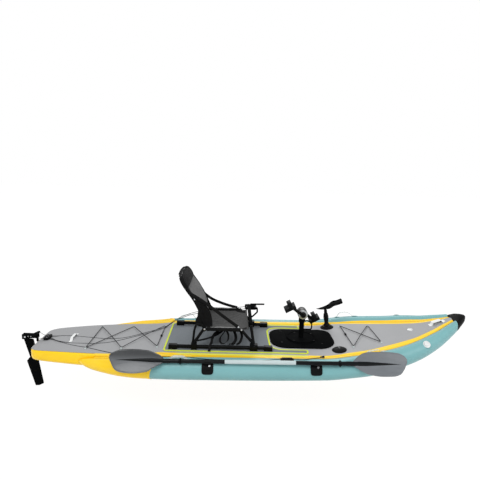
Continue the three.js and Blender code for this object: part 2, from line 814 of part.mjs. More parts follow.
// A side handle's pads follow the tube along its length, and its arch stands off it
function tubeHandle(name, place, side, flat) {
  const half = sideHandleLength / 2;
  const route = handleShares.map(([along, rise]) => onTubeFlat(
    place + along * half, side, flat, 3 * gap + strapThickness / 2 + rise * handleRise));
  const across = route[0].normal.clone().cross(vec(1, 0, 0));
  const strap = band(route.map((step) => step.point), across, handleWidth, strapThickness);
  return part(name, strap, 0x2c3236, 0.8, 0);
}

const handleShares = [[-1, 0], [-0.8, 0], [-0.66, 0.12], [-0.5, 0.7], [-0.36, 1], [0, 1.04],
  [0.36, 1], [0.5, 0.7], [0.66, 0.12], [0.8, 0], [1, 0]];

function deckHandle(name, place, length, width, turned) {
  const mesh = part(name, strapHandle(length, width, handleRise), 0xb9babc, 0.8, 0);
  const reach = turned ? width / 2 : length / 2;
  const aft = vec(place - reach, 0, hullAt(place - reach).top + gap);
  const fore = vec(place + reach, 0, hullAt(place + reach).top + gap);
  placeBetween(mesh, aft, fore, vec(0, 0, 1));
  const bulge = hullAt(place).top + gap - mesh.position.z;
  if (bulge > 0) mesh.position.z += bulge;
  if (turned) mesh.rotateZ(Math.PI / 2);
  return mesh;
}

// A bungee runs round its loops as one cord and crosses over itself
function bungee(name, stops, crossings) {
  const route = [];
  stops.forEach(([x, y], i) => {
    const height = hullAt(x).top + bungeeStandOff;
    if (i > 0) {
      const [beforeX, beforeY] = stops[i - 1];
      const middle = vec((x + beforeX) / 2, (y + beforeY) / 2, 0);
      middle.z = (height + hullAt(beforeX).top + bungeeStandOff) / 2 + bungeeCross * crossings[i - 1];
      route.push(middle);
    }
    route.push(vec(x, y, height));
  });
  return part(name, tube(route, bungeeRadius, cordSides), 0x3c3e41, 0.9, 0);
}

function rearBungee() {
  const w = rearBungeeHalfWidth;
  return bungee('rear_bungee', [
    [rearBungeeAft, w - bungeeRadius * 3], [rearBungeeAft, -w], [rearBungeeMiddle, w], [rearBungeeFore, -w],
    [rearBungeeFore, w], [rearBungeeMiddle, -w], [rearBungeeAft, w],
  ], [0, 0, 0, 0, 1, 1]);
}

function foreBungee() {
  const a = foreBungeeAftHalfWidth;
  const f = foreBungeeForeHalfWidth;
  return bungee('front_bungee', [
    [foreBungeeAft, a], [foreBungeeFore, -f], [foreBungeeFore, f], [foreBungeeAft, -a],
    [foreBungeeAft, a - bungeeRadius * 3],
  ], [0, 0, 1, 0]);
}

function hullGroup() {
  const group = new THREE.Group();
  const teal = 0x7fa8a4;
  const yellow = 0xfdc51c;
  group.add(part('floor_board', floorBoard(), yellow, 0.45, 0));
  group.add(part('port_tube', sideTube(1), teal, 0.45, 0));
  group.add(part('starboard_tube', sideTube(-1), teal, 0.45, 0));
  const stripPlaces = hullPlaces.filter((x) => x >= stripTail);
  group.add(part('port_rail_strip', loft(stripPlaces.map((x) => stripRing(x, 1))), yellow, 0.5, 0));
  group.add(part('starboard_rail_strip', loft(stripPlaces.map((x) => stripRing(x, -1))), yellow, 0.5, 0));
  group.add(part('deck_skin', deckSkin(), 0xc2c0c2, 0.6, 0));
  group.add(part('deck_pad', deckPad(), 0x86898c, 0.85, 0));
  group.add(part('bow_cap', bowCap(), 0x1b1c1e, 0.6, 0));
  group.add(deckHandle('stern_handle', sternHandlePlace, sternHandleLength, sternHandleWidth, true));
  group.add(deckHandle('bow_handle', bowHandlePlace, bowHandleLength, bowHandleWidth, false));
  group.add(tubeHandle('port_rear_handle', -rearHandlePlace, 1, rearHandleFlat));
  group.add(tubeHandle('starboard_rear_handle', -rearHandlePlace, -1, rearHandleFlat));
  group.add(tubeHandle('port_front_handle', foreHandlePlace, 1, foreHandleFlat));
  group.add(tubeHandle('starboard_front_handle', foreHandlePlace, -1, foreHandleFlat));
  const valve = part('deck_valve', rod(
    vec(0, 0, gap), vec(0, 0, valveHeight), valveRadius, valveRadius * 0.85), 0xd8d8d6, 0.5, 0);
  const ahead = hullAt(valvePlace + valveRadius).top;
  const behind = hullAt(valvePlace - valveRadius).top;
  valve.position.set(valvePlace, 0, hullAt(valvePlace).top + gap);
  valve.rotation.y = -Math.atan2(ahead - behind, 2 * valveRadius);
  group.add(valve, rearBungee(), foreBungee());
  return group;
}

// Seat pieces, with heights above the deck

const railSide = railSpacing / 2;
const frameSide = frameSpacing / 2;
const backSide = backSpacing / 2;

function seatRail(side) {
  const y = side * railSide;
  const bar = rod(vec(-railAft + railEndLength / 2, y, railHeight), vec(railFore - railEndLength / 2, y, railHeight), railRadius);
  const base = padThickness + 2 * gap;
  const endBlock = (x) => block(
    vec(x, y - railEndWidth / 2, base), vec(x + railEndLength, y + railEndWidth / 2, base + railEndHeight));
  return joined(bar, endBlock(-railAft), endBlock(railFore - railEndLength));
}

function seatFrame(side) {
  const y = side * frameSide;
  const footTop = railHeight - footDrop + footHeight;
  const sink = footTop - overrun;
  const at = (x, z) => vec(x, y, z);
  const saddle = tube(bend([
    at(-footAft, sink), at(-seatSideAft, seatSideHeight), at(-seatSideFore, seatSideHeight), at(-footFore, sink),
  ], frameTubeRadius * 3), frameTubeRadius, cordSides);
  const post = tube([at(-footFore, sink), at(-crossbarPlace, crossbarHeight)], frameTubeRadius, cordSides);
  const eye = rod(
    vec(-backPivotPlace, side * (frameSide - frameTubeRadius), seatSideHeight),
    vec(-backPivotPlace, side * (frameSide + frameTubeRadius), seatSideHeight), pivotEyeRadius);
  const pin = rod(
    vec(-backPivotPlace, side * (backSide - backTubeRadius - pivotPinRadius), seatSideHeight),
    vec(-backPivotPlace, y, seatSideHeight), pivotPinRadius);
  const foot = (x, length) => {
    const box = solid(block(
      vec(x - length / 2, side * railSide - footWidth / 2, railHeight - footDrop),
      vec(x + length / 2, side * railSide + footWidth / 2, footTop)));
    const bore = rod(
      vec(x - length, side * railSide, railHeight), vec(x + length, side * railSide, railHeight),
      railRadius + runningGap);
    return box.subtract(solid(bore));
  };
  return joined(saddle, post, eye, pin, foot(-footAft, footLength), foot(-footFore, footForeLength));
}

function frontCrossbar() {
  const reach = frameSide - frameTubeRadius - gap;
  return rod(vec(-crossbarPlace, -reach, crossbarHeight), vec(-crossbarPlace, reach, crossbarHeight), crossbarRadius);
}

// The sling hangs between the side tubes and rises to the crossbar
const slingShares = [0, 0.25, 0.5, 0.75, 0.9, 1];
const slingAcrossShares = [-1, -0.66, -0.33, 0, 0.33, 0.66, 1];
const slingRiseShares = [0, 0, 0, 0.18, 0.6, 1];

function seatSling() {
  const aft = -backPivotPlace + pivotEyeRadius + 2 * gap;
  const fore = -crossbarPlace - crossbarRadius - 2 * gap;
  const halfWidth = frameSide - frameTubeRadius - 2 * gap;
  const rings = slingShares.map((share, i) => {
    const x = THREE.MathUtils.lerp(aft, fore, share);
    const base = seatSideHeight - slingDrop + (crossbarHeight - seatSideHeight) * slingRiseShares[i];
    const sag = slingSag * (1 - 0.7 * share ** 4);
    const low = slingAcrossShares.map((s) => vec(x, s * halfWidth, base - sag * (1 - s * s)));
    const high = low.map((p) => vec(p.x, p.y, p.z + slingThickness)).reverse();
    return [...low, ...high];
  });
  return loft(rings);
}

// The back rises from its pivot and curves aft: place and front-facing direction at a share of its height
const backCurveShares = [[0, 0], [0.26, 0.11], [0.55, 0.38], [0.81, 0.75], [1, 1]];

function onBack(share, y, lift) {
  const at = (t) => vec(-backReach * follow(backCurveShares, t), y, backHeight * t);
  const along = at(Math.min(share + gap / backHeight, 1)).sub(at(Math.max(share - gap / backHeight, 0)));
  return at(share).addScaledVector(vec(along.z, 0, -along.x).normalize(), lift);
}

function backFrame() {
  const rise = backCurveShares.map(([share]) => share);
  const bow = tube(bend([
    ...rise.map((share) => onBack(share, -backSide, 0)),
    ...[...rise].reverse().map((share) => onBack(share, backSide, 0)),
  ], backCorner, bendSteps), backTubeRadius, cordSides);
  const eye = (side) => rod(
    vec(0, side * (backSide - backTubeRadius), 0), vec(0, side * (backSide + backTubeRadius - gap), 0), pivotEyeRadius);
  const bore = rod(vec(0, -frameSide, 0), vec(0, frameSide, 0), pivotPinRadius + runningGap);
  return joined(bow, eye(1), eye(-1)).subtract(solid(bore));
}

const panelShares = [0, 0.16, 0.4, 0.63, 0.7, 0.86, 0.97, 1];
const panelWidthShares = [0.92, 0.97, 1, 1, 1, 1, 0.86, 0.62];
const panelBackShares = [0.45, 0.55, 0.6, 0.6, 0.9, 1, 0.9, 0.45];
const panelAcrossShares = [-1, -0.6, 0, 0.6, 1];
const panelBellyShares = [0, 0.75, 1, 0.75, 0];

function backPanel() {
  const front = backTubeRadius + panelStandOff;
  const rings = panelShares.map((share, i) => {
    const place = THREE.MathUtils.lerp(panelStart / backHeight, 1, share);
    const thickness = headThickness * panelBackShares[i];
    const width = panelHalfWidth * panelWidthShares[i];
    const back = panelAcrossShares.map((s) => onBack(place, s * width, front));
    const fore = panelAcrossShares.map(
      (s, k) => onBack(place, s * width, front + thickness * (0.45 + 0.55 * panelBellyShares[k])));
    return [...back, ...fore.reverse()];
  });
  return loft(rings);
}

// Tension strap from the side of the back to the top of the side tube
const backStrapShare = 0.73;

function backStrap(side) {
  const y = side * (backSide + backTubeRadius + gap + backStrapThickness / 2);
  const start = onBack(backStrapShare, y, 0).add(vec(-backPivotPlace, 0, seatSideHeight));
  const end = vec(-seatSideFore - backStrapWidth, y, seatSideHeight + frameTubeRadius + gap);
  const slope = Math.atan2(start.z - end.z, end.x - start.x);
  end.z += Math.cos(slope) * backStrapWidth / 2;
  end.y = side * frameSide;
  const across = vec(end.z - start.z, 0, start.x - end.x);
  return band([start, end.clone().lerp(start, 0.5), end], across, backStrapWidth, backStrapThickness);
}

function lockKnob(side) {
  const inner = side * (railSide + footWidth / 2 + gap);
  return rod(vec(-footFore, inner, knobHeight), vec(-footFore, inner + side * knobLength, knobHeight), knobRadius);
}

function seatGroup() {
  const group = new THREE.Group();
  group.position.z = deck;
  const black = 0x1d1e20;
  const metal = 0x26282a;
  const shell = 0x3a3a3c;
  for (const [name, side] of [['port', 1], ['starboard', -1]]) {
    group.add(part(`${name}_seat_rail`, seatRail(side), black, 0.5, 0.3));
    group.add(part(`${name}_seat_frame`, seatFrame(side), metal, 0.4, 0.6));
    group.add(part(`${name}_back_strap`, backStrap(side), black, 0.9, 0));
    group.add(part(`${name}_lock_knob`, lockKnob(side), black, 0.6, 0));
  }
  group.add(part('front_crossbar', frontCrossbar(), metal, 0.4, 0.6));
  group.add(part('seat_sling', seatSling(), 0x6b6868, 0.95, 0));
  const back = new THREE.Group();
  back.position.set(-backPivotPlace, 0, seatSideHeight);
  back.add(part('back_frame', backFrame(), metal, 0.4, 0.6));
  back.add(part('back_panel', backPanel(), shell, 0.95, 0));
  group.add(back);
  return group;
}

// Steering pieces, with heights above the deck

function steeringBox() {
  const x = steeringBoxPlace;
  const y = steeringBoxSide;
  const body = slab(roundedOutline(steeringBoxLength, steeringBoxWidth, steeringBoxLength / 5), steeringBoxThickness)
    .translate(x, y, steeringBoxHeight);
  const clampInner = frameSide + frameTubeRadius + gap;
  const postShare = (steeringClampHeight - railHeight) / (crossbarHeight - railHeight);
  const clampPlace = THREE.MathUtils.lerp(-footFore, -crossbarPlace, postShare);
  const half = steeringClampSize / 2;
  const front = x + steeringBoxLength / 2 + steeringArmRadius;
  const clamp = block(
    vec(clampPlace - half, clampInner, steeringClampHeight - half),
    vec(clampPlace + half, clampInner + half, steeringClampHeight + half));
  const arm = tube(bend([
    vec(clampPlace, clampInner + half / 2, steeringClampHeight),
    vec(x + half, clampInner + half, steeringClampHeight),
    vec(front, clampInner + half, steeringBoxHeight - half),
    vec(front, y - half, steeringBoxHeight + steeringBoxThickness / 2),
    vec(x, y - half, steeringBoxHeight + steeringBoxThickness / 2),
  ], steeringArmRadius * 2), steeringArmRadius, cordSides);
  return joined(body, clamp, arm);
}

function steeringLever() {
  const low = steeringBoxHeight + steeringBoxThickness + gap;
  const hub = rod(vec(0, 0, low), vec(0, 0, low + leverHubHeight), leverHubRadius);
  const height = low + leverHubHeight / 2 + leverRadius / 4;
  const arm = rod(vec(0, 0, height), vec(leverLength, leverRadius, height + leverRadius), leverRadius * 0.7, leverRadius);
  return joined(hub, arm);
}

function guideBlock() {
  const body = slab(
    roundedOutline(guideBlockLength, guideBlockWidth, guideBlockLength / 4), guideBlockHeight, bendSteps / 2);
  const rise = hullAt(guideBlockPlace + guideBlockLength / 2).top - hullAt(guideBlockPlace - guideBlockLength / 2).top;
  return body.rotateY(-Math.atan2(rise, guideBlockLength))
    .translate(guideBlockPlace, 0, hullAt(guideBlockPlace).top + 2 * gap);
}

// Routes of the cords in world millimetres, point by point as they lie
const portCableRoute = [
  [-1789.2, 34, 111], [-1765, 36, 110.4], [-1735, 42, 110.1], [-1695, 47, 111.1], [-1620, 42, 113.9],
  [-1549, 26, 116.8], [-1475, 9, 119.8], [-1402, -9, 122.1], [-1338, -22, 123.8], [-1275, -30, 125.7],
  [-1210, -28, 128.1], [-1147, -14, 129.8], [-1090, 16, 131.3], [-1037, 55, 133.4], [-965, 108, 136.5],
  [-900, 155, 139.6], [-850, 188, 145.4], [-811, 212, 150.4], [-785, 227, 166], [-760, 242, 182],
  [-736, 257, 198], [-690, 286, 216.7], [-640, 314, 231.4], [-580, 344, 245.8], [-508, 369, 256.8],
  [-440, 376, 265], [-380, 371, 272.4], [-326, 362, 279.9], [-270, 359, 287.4], [-220, 361, 295],
  [-169, 364, 302.7], [-115, 366, 310.2], [-67.6, 366, 317],
];
const starboardCableRoute = [
  [-1789.2, -32, 111], [-1765, -38, 110.4], [-1735, -55, 113], [-1700, -78, 117.4],
  [-1665, -94.5, 118.6], [-1620, -105, 116.6], [-1585, -112, 115.4], [-1520, -121, 118],
  [-1457, -127, 120.5], [-1392, -129, 122.4], [-1329, -126, 124], [-1272, -115, 125.8],
  [-1220, -96, 127.7], [-1150, -56, 129.7], [-1083, -9, 131.5], [-1015, 40, 134.3], [-946, 92, 137.3],
  [-900, 126, 139.6], [-850, 162, 145.4], [-811, 189, 150.4], [-785, 205, 166], [-760, 220, 180],
  [-736, 236, 194], [-690, 267, 211.7], [-640, 298, 224.4], [-580, 325, 236.8], [-508, 343, 246.8],
  [-440, 352, 255], [-389, 355, 259.6], [-326, 352, 265.9], [-270, 346, 274.4], [-228, 338, 283.3],
  [-170, 326, 294.7], [-115, 314, 305.2], [-67.6, 306, 316],
];
const liftLineRoute = [
  [-1788.6, -8, 111], [-1765, -20, 110.4], [-1735, -45, 110.1], [-1700, -72, 110.8],
  [-1650, -103, 112.9], [-1583, -141, 115.6], [-1495, -180, 119.2], [-1404, -213, 122.3],
  [-1310, -254, 124.8], [-1220, -296, 127.9], [-1128, -333, 129.9], [-1040, -360, 131.1],
  [-946, -382, 135.2], [-905, -391, 137.6], [-880, -396, 138.6], [-809, -408, 147.2], [-745, -417, 153.6],
  [-650, -426, 155], [-560, -430, 156.9], [-500, -433, 158.3], [-440, -443, 157.3],
  [-373, -452, 158.1], [-280, -457, 158.2], [-180, -459, 158.9], [-75, -460, 159.7], [40, -459, 161.7],
  [120, -456.5, 165.4], [180, -453, 171], [205, -451.2, 173.4], [252, -450.8, 173.6],
  [300, -450.8, 173.6], [322, -449.8, 172.4], [365, -445, 166.8], [410, -434, 166.1], [455, -420, 167.3],
  [495, -408, 167.3], [524, -401, 167.5],
];

function cord(name, route) {
  const path = new THREE.CatmullRomCurve3(route.map((p) => vec(...p)), false, 'centripetal');
  return part(name, tube(path.getPoints(route.length * 2), cableRadius, lineSides), 0x2a2a2c, 0.7, 0);
}

// The cleat sits on the starboard tube and its two jaws grip the line
function lineCleat() {
  const base = slab(roundedOutline(cleatLength, cleatWidth, cleatWidth / 5), cleatBaseThickness, bendSteps / 2);
  const slot = cableRadius + gap;
  const jaw = (side) => block(
    vec(-cleatJawLength / 2, side > 0 ? slot : -slot - cleatJawHeight, cleatBaseThickness - gap),
    vec(cleatJawLength / 2, side > 0 ? slot + cleatJawHeight : -slot, cleatBaseThickness + cleatJawHeight));
  return joined(base, jaw(1), jaw(-1));
}

function steeringGroup() {
  const group = new THREE.Group();
  const black = 0x1f2022;
  const raised = new THREE.Group();
  raised.position.z = deck;
  raised.add(part('steering_box', steeringBox(), black, 0.6, 0));
  const lever = part('steering_lever', steeringLever(), black, 0.6, 0);
  lever.position.set(leverPivotPlace, steeringBoxSide, 0);
  raised.add(lever);
  group.add(raised, part('cable_guide_block', guideBlock(), black, 0.6, 0));
  group.add(cord('port_steering_cable', portCableRoute));
  group.add(cord('starboard_steering_cable', starboardCableRoute));
  group.add(cord('rudder_lift_line', liftLineRoute));
  const cleat = part('line_cleat', lineCleat(), black, 0.6, 0);
  const half = cleatLength / 2;
  const seat = (x) => onTube(x, -1, cleatTilt, 2 * gap);
  placeBetween(cleat, seat(cleatPlace - half).point, seat(cleatPlace + half).point, seat(cleatPlace).normal);
  group.add(cleat);
  const last = liftLineRoute[liftLineRoute.length - 1];
  const before = liftLineRoute[liftLineRoute.length - 2];
  const end = vec(...last);
  const ahead = end.clone().sub(vec(...before)).normalize();
  const start = end.clone().addScaledVector(ahead, gap);
  const toggle = rod(start, start.clone().addScaledVector(ahead, toggleLength), toggleRadius / 2, toggleRadius);
  group.add(part('line_toggle', toggle.translate(0, 0, toggleRadius / 2), black, 0.6, 0));
  return group;
}

// Rudder pieces: the group's origin is the steering pin at the height of the stern's deck

const pinPlace = stern - pinSetback;

function rudderBracket() {
  const wall = pinSetback - gap;
  const plate = block(
    vec(wall - bracketThickness, -bracketWidth / 2, -bracketHeight),
    vec(wall, bracketWidth / 2, -boardTopCorner));
  const lug = (drop) => {
    const ear = block(vec(0, -lugRadius, -drop - lugThickness), vec(wall - gap, lugRadius, -drop));
    const nose = rod(vec(0, 0, -drop - lugThickness), vec(0, 0, -drop), lugRadius);
    return joined(ear, nose);
  };
  const pin = rod(
    vec(0, 0, -lowerLugDrop - lugThickness - overrun), vec(0, 0, yokeHeight + yokeThickness + overrun), pinRadius);
  return joined(plate, lug(upperLugDrop), lug(lowerLugDrop), pin);
}

function rudderHead() {
  const half = headWidth / 2;
  const top = yokeHeight + yokeThickness;
  const bodyLow = bladePivotHeight - bladeEyeRadius / 2;
  const cheekLow = bladePivotHeight - bladeEyeRadius;
  const cheekTop = bladePivotHeight + bladeEyeRadius;
  const cheekAft = -bladePivotSetback - bladeEyeRadius - overrun;
  const bodyAft = -bladePivotSetback + bladeEyeRadius + overrun / 2;
  const yoke = slab([
    [lugRadius, -lugRadius], [lugRadius, lugRadius], [-yokeSetback + yokeWing / 3, yokeSpan / 2],
    [-yokeSetback - yokeWing / 3, yokeSpan / 2], [-yokeSetback - yokeWing, half],
    [-yokeSetback - yokeWing, -half], [-yokeSetback - yokeWing / 3, -yokeSpan / 2],
    [-yokeSetback + yokeWing / 3, -yokeSpan / 2],
  ].map(([x, y]) => new THREE.Vector2(x, y)), yokeThickness).translate(0, 0, yokeHeight);
  const body = block(vec(bodyAft, -half, bodyLow), vec(lugRadius, half, top));
  const cheeks = block(vec(cheekAft, -half, cheekLow), vec(bodyAft + overrun, half, cheekTop));
  const slot = block(
    vec(cheekAft - overrun, -bladeThickness / 2 - runningGap, cheekLow - overrun),
    vec(bodyAft + 2 * overrun, bladeThickness / 2 + runningGap, cheekTop + overrun));
  const sleeve = rod(vec(0, 0, -upperLugDrop + gap), vec(0, 0, top), lugRadius);
  const pinBore = rod(vec(0, 0, -lowerLugDrop), vec(0, 0, top + overrun), pinRadius + runningGap);
  const bolt = rod(
    vec(-bladePivotSetback, -headWidth, bladePivotHeight), vec(-bladePivotSetback, headWidth, bladePivotHeight),
    bladeBoltRadius + runningGap);
  const trimmed = solid(cheeks).subtract(solid(slot));
  return joined(yoke, body, trimmed, sleeve).subtract(solid(pinBore)).subtract(solid(bolt));
}

// The blade hangs from its eye, slants forward as it goes down and steps aft below the waterline
const bladeOutlineShares = [[-0.18, 0.01], [0.206, 0.413], [-0.015, 0.495], [0.47, 1], [0.72, 0.995],
  [0.99, 0.955], [0.757, 0.531], [0.478, 0.072], [0.45, 0.058], [0.15, 0.045]];

function rudderBlade() {
  const outline = bladeOutlineShares.map(([along, down]) => new THREE.Vector2(
    bladeReach * along, -bladeDepth * down));
  const plate = slab(outline, bladeThickness);
  plate.rotateX(Math.PI / 2).translate(0, bladeThickness / 2, 0);
  const eye = rod(vec(0, -bladeThickness / 2, 0), vec(0, bladeThickness / 2, 0), bladeEyeRadius);
  const bore = rod(vec(0, -headWidth, 0), vec(0, headWidth, 0), bladeBoltRadius + runningGap);
  return joined(plate, eye).subtract(solid(bore));
}

function bladeBolt() {
  const reach = headWidth / 2 + gap;
  const shank = rod(vec(0, -reach - gap, 0), vec(0, reach + gap, 0), bladeBoltRadius);
  const cap = (side) => rod(
    vec(0, side * reach, 0), vec(0, side * (reach + bladeBoltHeadThickness), 0), bladeBoltHeadRadius);
  return joined(shank, cap(1), cap(-1));
}

function rudderGroup() {
  const group = new THREE.Group();
  group.position.set(pinPlace, 0, hullAt(stern).top);
  const black = 0x151517;
  group.add(part('rudder_bracket', rudderBracket(), black, 0.5, 0.3));
  group.add(part('rudder_head', rudderHead(), black, 0.55, 0));
  for (const [name, shape] of [['rudder_blade', rudderBlade()], ['blade_bolt', bladeBolt()]]) {
    const mesh = part(name, shape, black, 0.5, 0);
    mesh.position.set(-bladePivotSetback, 0, bladePivotHeight);
    group.add(mesh);
  }
  return group;
}

// Pedal drive pieces: the group's origin is on the deck under the column

// The plate lies on the deck and follows its rise, with round corners all round
function drivePlate() {
  const half = plateLength / 2;
  const cornerPlaces = plateCornerShares.map((share) => half - plateCorner * share);
  const hullStations = hullPlaces.map((x) => x - drivePlace).filter((x) => Math.abs(x) < half - overrun);
  const places = [...cornerPlaces, ...cornerPlaces.map((x) => -x), ...hullStations].sort((a, b) => a - b);
  const shape = loft(places.map((x) => {
    const reach = Math.max(Math.abs(x) - half + plateCorner, 0);
    const y = plateWidth / 2 - plateCorner + Math.sqrt(plateCorner ** 2 - reach ** 2);
    const low = hullAt(drivePlace + x).top - deck + gap;
    return [vec(x, -y, low), vec(x, y, low), vec(x, y, low + plateThickness), vec(x, -y, low + plateThickness)];
  }));
  const opening = block(
    vec(-wellLength / 2, -wellWidth / 2, -overrun), vec(wellLength / 2, wellWidth / 2, plateThickness + overrun));
  return solid(shape).subtract(solid(opening));
}

const plateCornerShares = [0, 0.05, 0.18, 0.4, 0.68, 1];

function driveColumn() {
  const seat = plateThickness + 2 * gap;
  const top = crankHeight - headRadius - gap;
  const flange = rod(vec(0, 0, seat), vec(0, 0, seat + baseThickness), baseRadius, baseRadius * 0.93, fineSides);
  const post = rod(vec(0, 0, seat), vec(0, 0, columnHeight + overrun), columnRadius);
  const cap = rod(vec(0, 0, columnHeight), vec(0, 0, columnHeight + columnCapHeight + overrun), columnCapRadius);
  const leg = new THREE.CylinderGeometry(legLength / 2, legLength / 2, propDepth + seat, roundSides);
  leg.rotateX(Math.PI / 2).scale(1, legWidth / legLength, 1).translate(0, 0, (seat - propDepth) / 2);
  const casing = new THREE.LatheGeometry([
    [0, -gearCaseAft], [gearCaseRadius * 0.7, -gearCaseAft], [gearCaseRadius, -gearCaseAft / 2],
    [gearCaseRadius, gearCaseFore / 2], [gearCaseRadius * 0.6, gearCaseFore * 0.87], [0, gearCaseFore],
  ].map(([r, along]) => new THREE.Vector2(r, along)), roundSides);
  casing.rotateZ(-Math.PI / 2).translate(0, 0, -propDepth);
  const liftHandle = tube(bend([
    vec(0, 0, columnHeight), vec(liftHandleReach * 0.55, 0, columnHeight + liftHandleRadius * 2),
    vec(liftHandleReach, 0, columnHeight - liftHandleRadius * 2), vec(liftHandleReach, 0, liftHandleLow),
    vec(0, 0, liftHandleLow),
  ], liftHandleRadius * 3, 3), liftHandleRadius, cordSides);
  const shaftWay = rod(vec(0, 0, -propDepth), vec(0, 0, crankHeight), shaftBore);
  const pinionWay = rod(
    vec(0, 0, crankHeight - crankGearRadius - gearBack * 3), vec(0, 0, crankHeight), pinionBore);
  const cavity = rod(
    vec(-lowerGearRadius * 2, 0, -propDepth), vec(lowerGearRadius * 1.6, 0, -propDepth), gearCaseCavity);
  const propWay = rod(
    vec(-gearCaseAft - overrun, 0, -propDepth), vec(0, 0, -propDepth), propShaftRadius + runningGap);
  const headSeat = rod(
    vec(0, -headHalfWidth - overrun, crankHeight), vec(0, headHalfWidth + overrun, crankHeight),
    headRadius + gap, headRadius + gap, fineSides);
  const above = block(vec(-baseRadius, -baseRadius, crankHeight), vec(baseRadius, baseRadius, crankHeight + headRadius));
  return joined(flange, post, cap, leg, casing, liftHandle).subtract(solid(shaftWay)).subtract(solid(pinionWay))
    .subtract(solid(cavity)).subtract(solid(propWay)).subtract(solid(headSeat)).subtract(solid(above));
}

function gearHead() {
  const inner = -headHalfWidth + headCoverThickness + gap;
  const shell = solid(rod(vec(0, inner, 0), vec(0, headHalfWidth, 0), headRadius, headRadius, fineSides));
  const cavity = solid(rod(
    vec(0, inner - overrun, 0), vec(0, headHalfWidth - headCoverThickness, 0), headCavityRadius,
    headCavityRadius, fineSides));
  const bearing = solid(rod(vec(0, 0, 0), vec(0, headHalfWidth + overrun, 0), axleRadius + runningGap));
  const pinionWay = solid(rod(vec(0, 0, -headRadius - overrun), vec(0, 0, 0), pinionBore));
  return shell.subtract(cavity).subtract(bearing).subtract(pinionWay);
}

function headCover() {
  const inner = -headHalfWidth + headCoverThickness;
  const disc = solid(rod(vec(0, -headHalfWidth, 0), vec(0, inner, 0), headCoverRadius, headCoverRadius, fineSides));
  const bearing = rod(vec(0, -headHalfWidth - overrun, 0), vec(0, inner + overrun, 0), axleRadius + runningGap);
  return disc.subtract(solid(bearing));
}

// Bevel gear on the Z axis with its cone's point at the origin and its body below
function bevelGear(teeth, radius, mateRadius, back, turn) {
  const cone = Math.hypot(radius, mateRadius);
  const depth = 2.2 * radius / teeth;
  const tip = radius + 0.45 * depth * cone / mateRadius * 0.9;
  const root = radius - 0.75 * depth * cone / mateRadius * 0.9;
  const ring = (scale, height) => Array.from({ length: teeth * 4 }, (_, i) => {
    const tooth = Math.floor(i / 4);
    const angle = 2 * Math.PI * (tooth + toothAngleShares[i % 4] + turn) / teeth;
    const r = scale * (i % 4 === 1 || i % 4 === 2 ? tip : root);
    return vec(r * Math.cos(angle), r * Math.sin(angle), height);
  });
  return loft([ring(1, -mateRadius - back), ring(1, -mateRadius), ring(gearFaceShare, -mateRadius * gearFaceShare)]);
}

const toothAngleShares = [-0.24, -0.1, 0.1, 0.24];

function crankArm(side, turned) {
  const inner = side * (headHalfWidth + crankClearance);
  const outer = inner + side * crankThickness;
  const shape = new THREE.Shape();
  const wide = crankWidth / 2;
  const narrow = wide * 0.7;
  shape.moveTo(0, -wide);
  shape.lineTo(crankLength, -narrow);
  shape.absarc(crankLength, 0, narrow, -Math.PI / 2, Math.PI / 2, false);
  shape.lineTo(0, wide);
  shape.absarc(0, 0, wide, Math.PI / 2, 3 * Math.PI / 2, false);
  const arm = slab(shape, crankThickness, bendSteps).rotateX(Math.PI / 2);
  arm.translate(0, Math.max(inner, outer), 0);
  const end = vec(crankLength, 0, 0);
  const spindle = rod(
    end.clone().setY(outer - side * gap), end.clone().setY(outer + side * spindleLength), spindleRadius);
  return joined(arm, spindle).rotate([0, -turned, 0]);
}

function crankAxle() {
  const bar = rod(vec(0, -axleHalfLength, 0), vec(0, axleHalfLength, 0), axleRadius);
  const gear = bevelGear(crankGearTeeth, crankGearRadius, pinionRadius, gearBack, 0.5);
  gear.rotateX(Math.PI / 2);
  return joined(bar, gear, crankArm(1, crankAngle + 180));
}

function starboardCrank() {
  const bore = rod(
    vec(0, -axleHalfLength - overrun, 0), vec(0, -headHalfWidth, 0), axleRadius + gap);
  return crankArm(-1, crankAngle).subtract(solid(bore));
}

function driveShaft() {
  const upper = -crankGearRadius;
  const lower = -propDepth - crankHeight + propPinionRadius;
  const bar = rod(vec(0, 0, lower), vec(0, 0, upper - gap), shaftRadius);
  const pinion = bevelGear(pinionTeeth, pinionRadius, crankGearRadius, gearBack, 0);
  const gear = bevelGear(lowerGearTeeth, lowerGearRadius, propPinionRadius, gearBack / 2, 0.5);
  gear.rotateX(Math.PI).translate(0, 0, -propDepth - crankHeight);
  return joined(bar, pinion, gear);
}

// The propeller's two blades lie across the hull and twist towards their tips
const propStationShares = [0.08, 0.3, 0.6, 0.85, 1];
const propChordShares = [0.6, 0.9, 1, 0.8, 0.3];
const propPitchDegrees = [62, 48, 34, 26, 22];

function propeller() {
  const hubFore = -gearCaseAft - 2 * gap;
  const hub = rod(vec(hubFore - propHubLength, 0, 0), vec(hubFore, 0, 0), propHubRadius * 0.55, propHubRadius);
  const shaft = rod(vec(hubFore - gap, 0, 0), vec(-lowerGearRadius - gap, 0, 0), propShaftRadius);
  const pinion = bevelGear(pinionTeeth, propPinionRadius, lowerGearRadius, gearBack / 2, 0);
  pinion.rotateY(Math.PI / 2);
  const middle = hubFore - propHubLength / 2;
  const blade = (side) => loft(propStationShares.map((share, i) => {
    const y = side * share * propRadius;
    const pitch = degrees(propPitchDegrees[i]) * side;
    const chord = propChord * propChordShares[i] / 2;
    const thick = propBladeThickness / 2;
    const along = vec(Math.cos(pitch), 0, Math.sin(pitch));
    const across = vec(-Math.sin(pitch), 0, Math.cos(pitch));
    return [[chord, 0], [0, thick], [-chord, 0], [0, -thick]].map(([a, t]) =>
      vec(middle, y, 0).addScaledVector(across, a).addScaledVector(along, t));
  }));
  return joined(hub, shaft, pinion, blade(1), blade(-1));
}

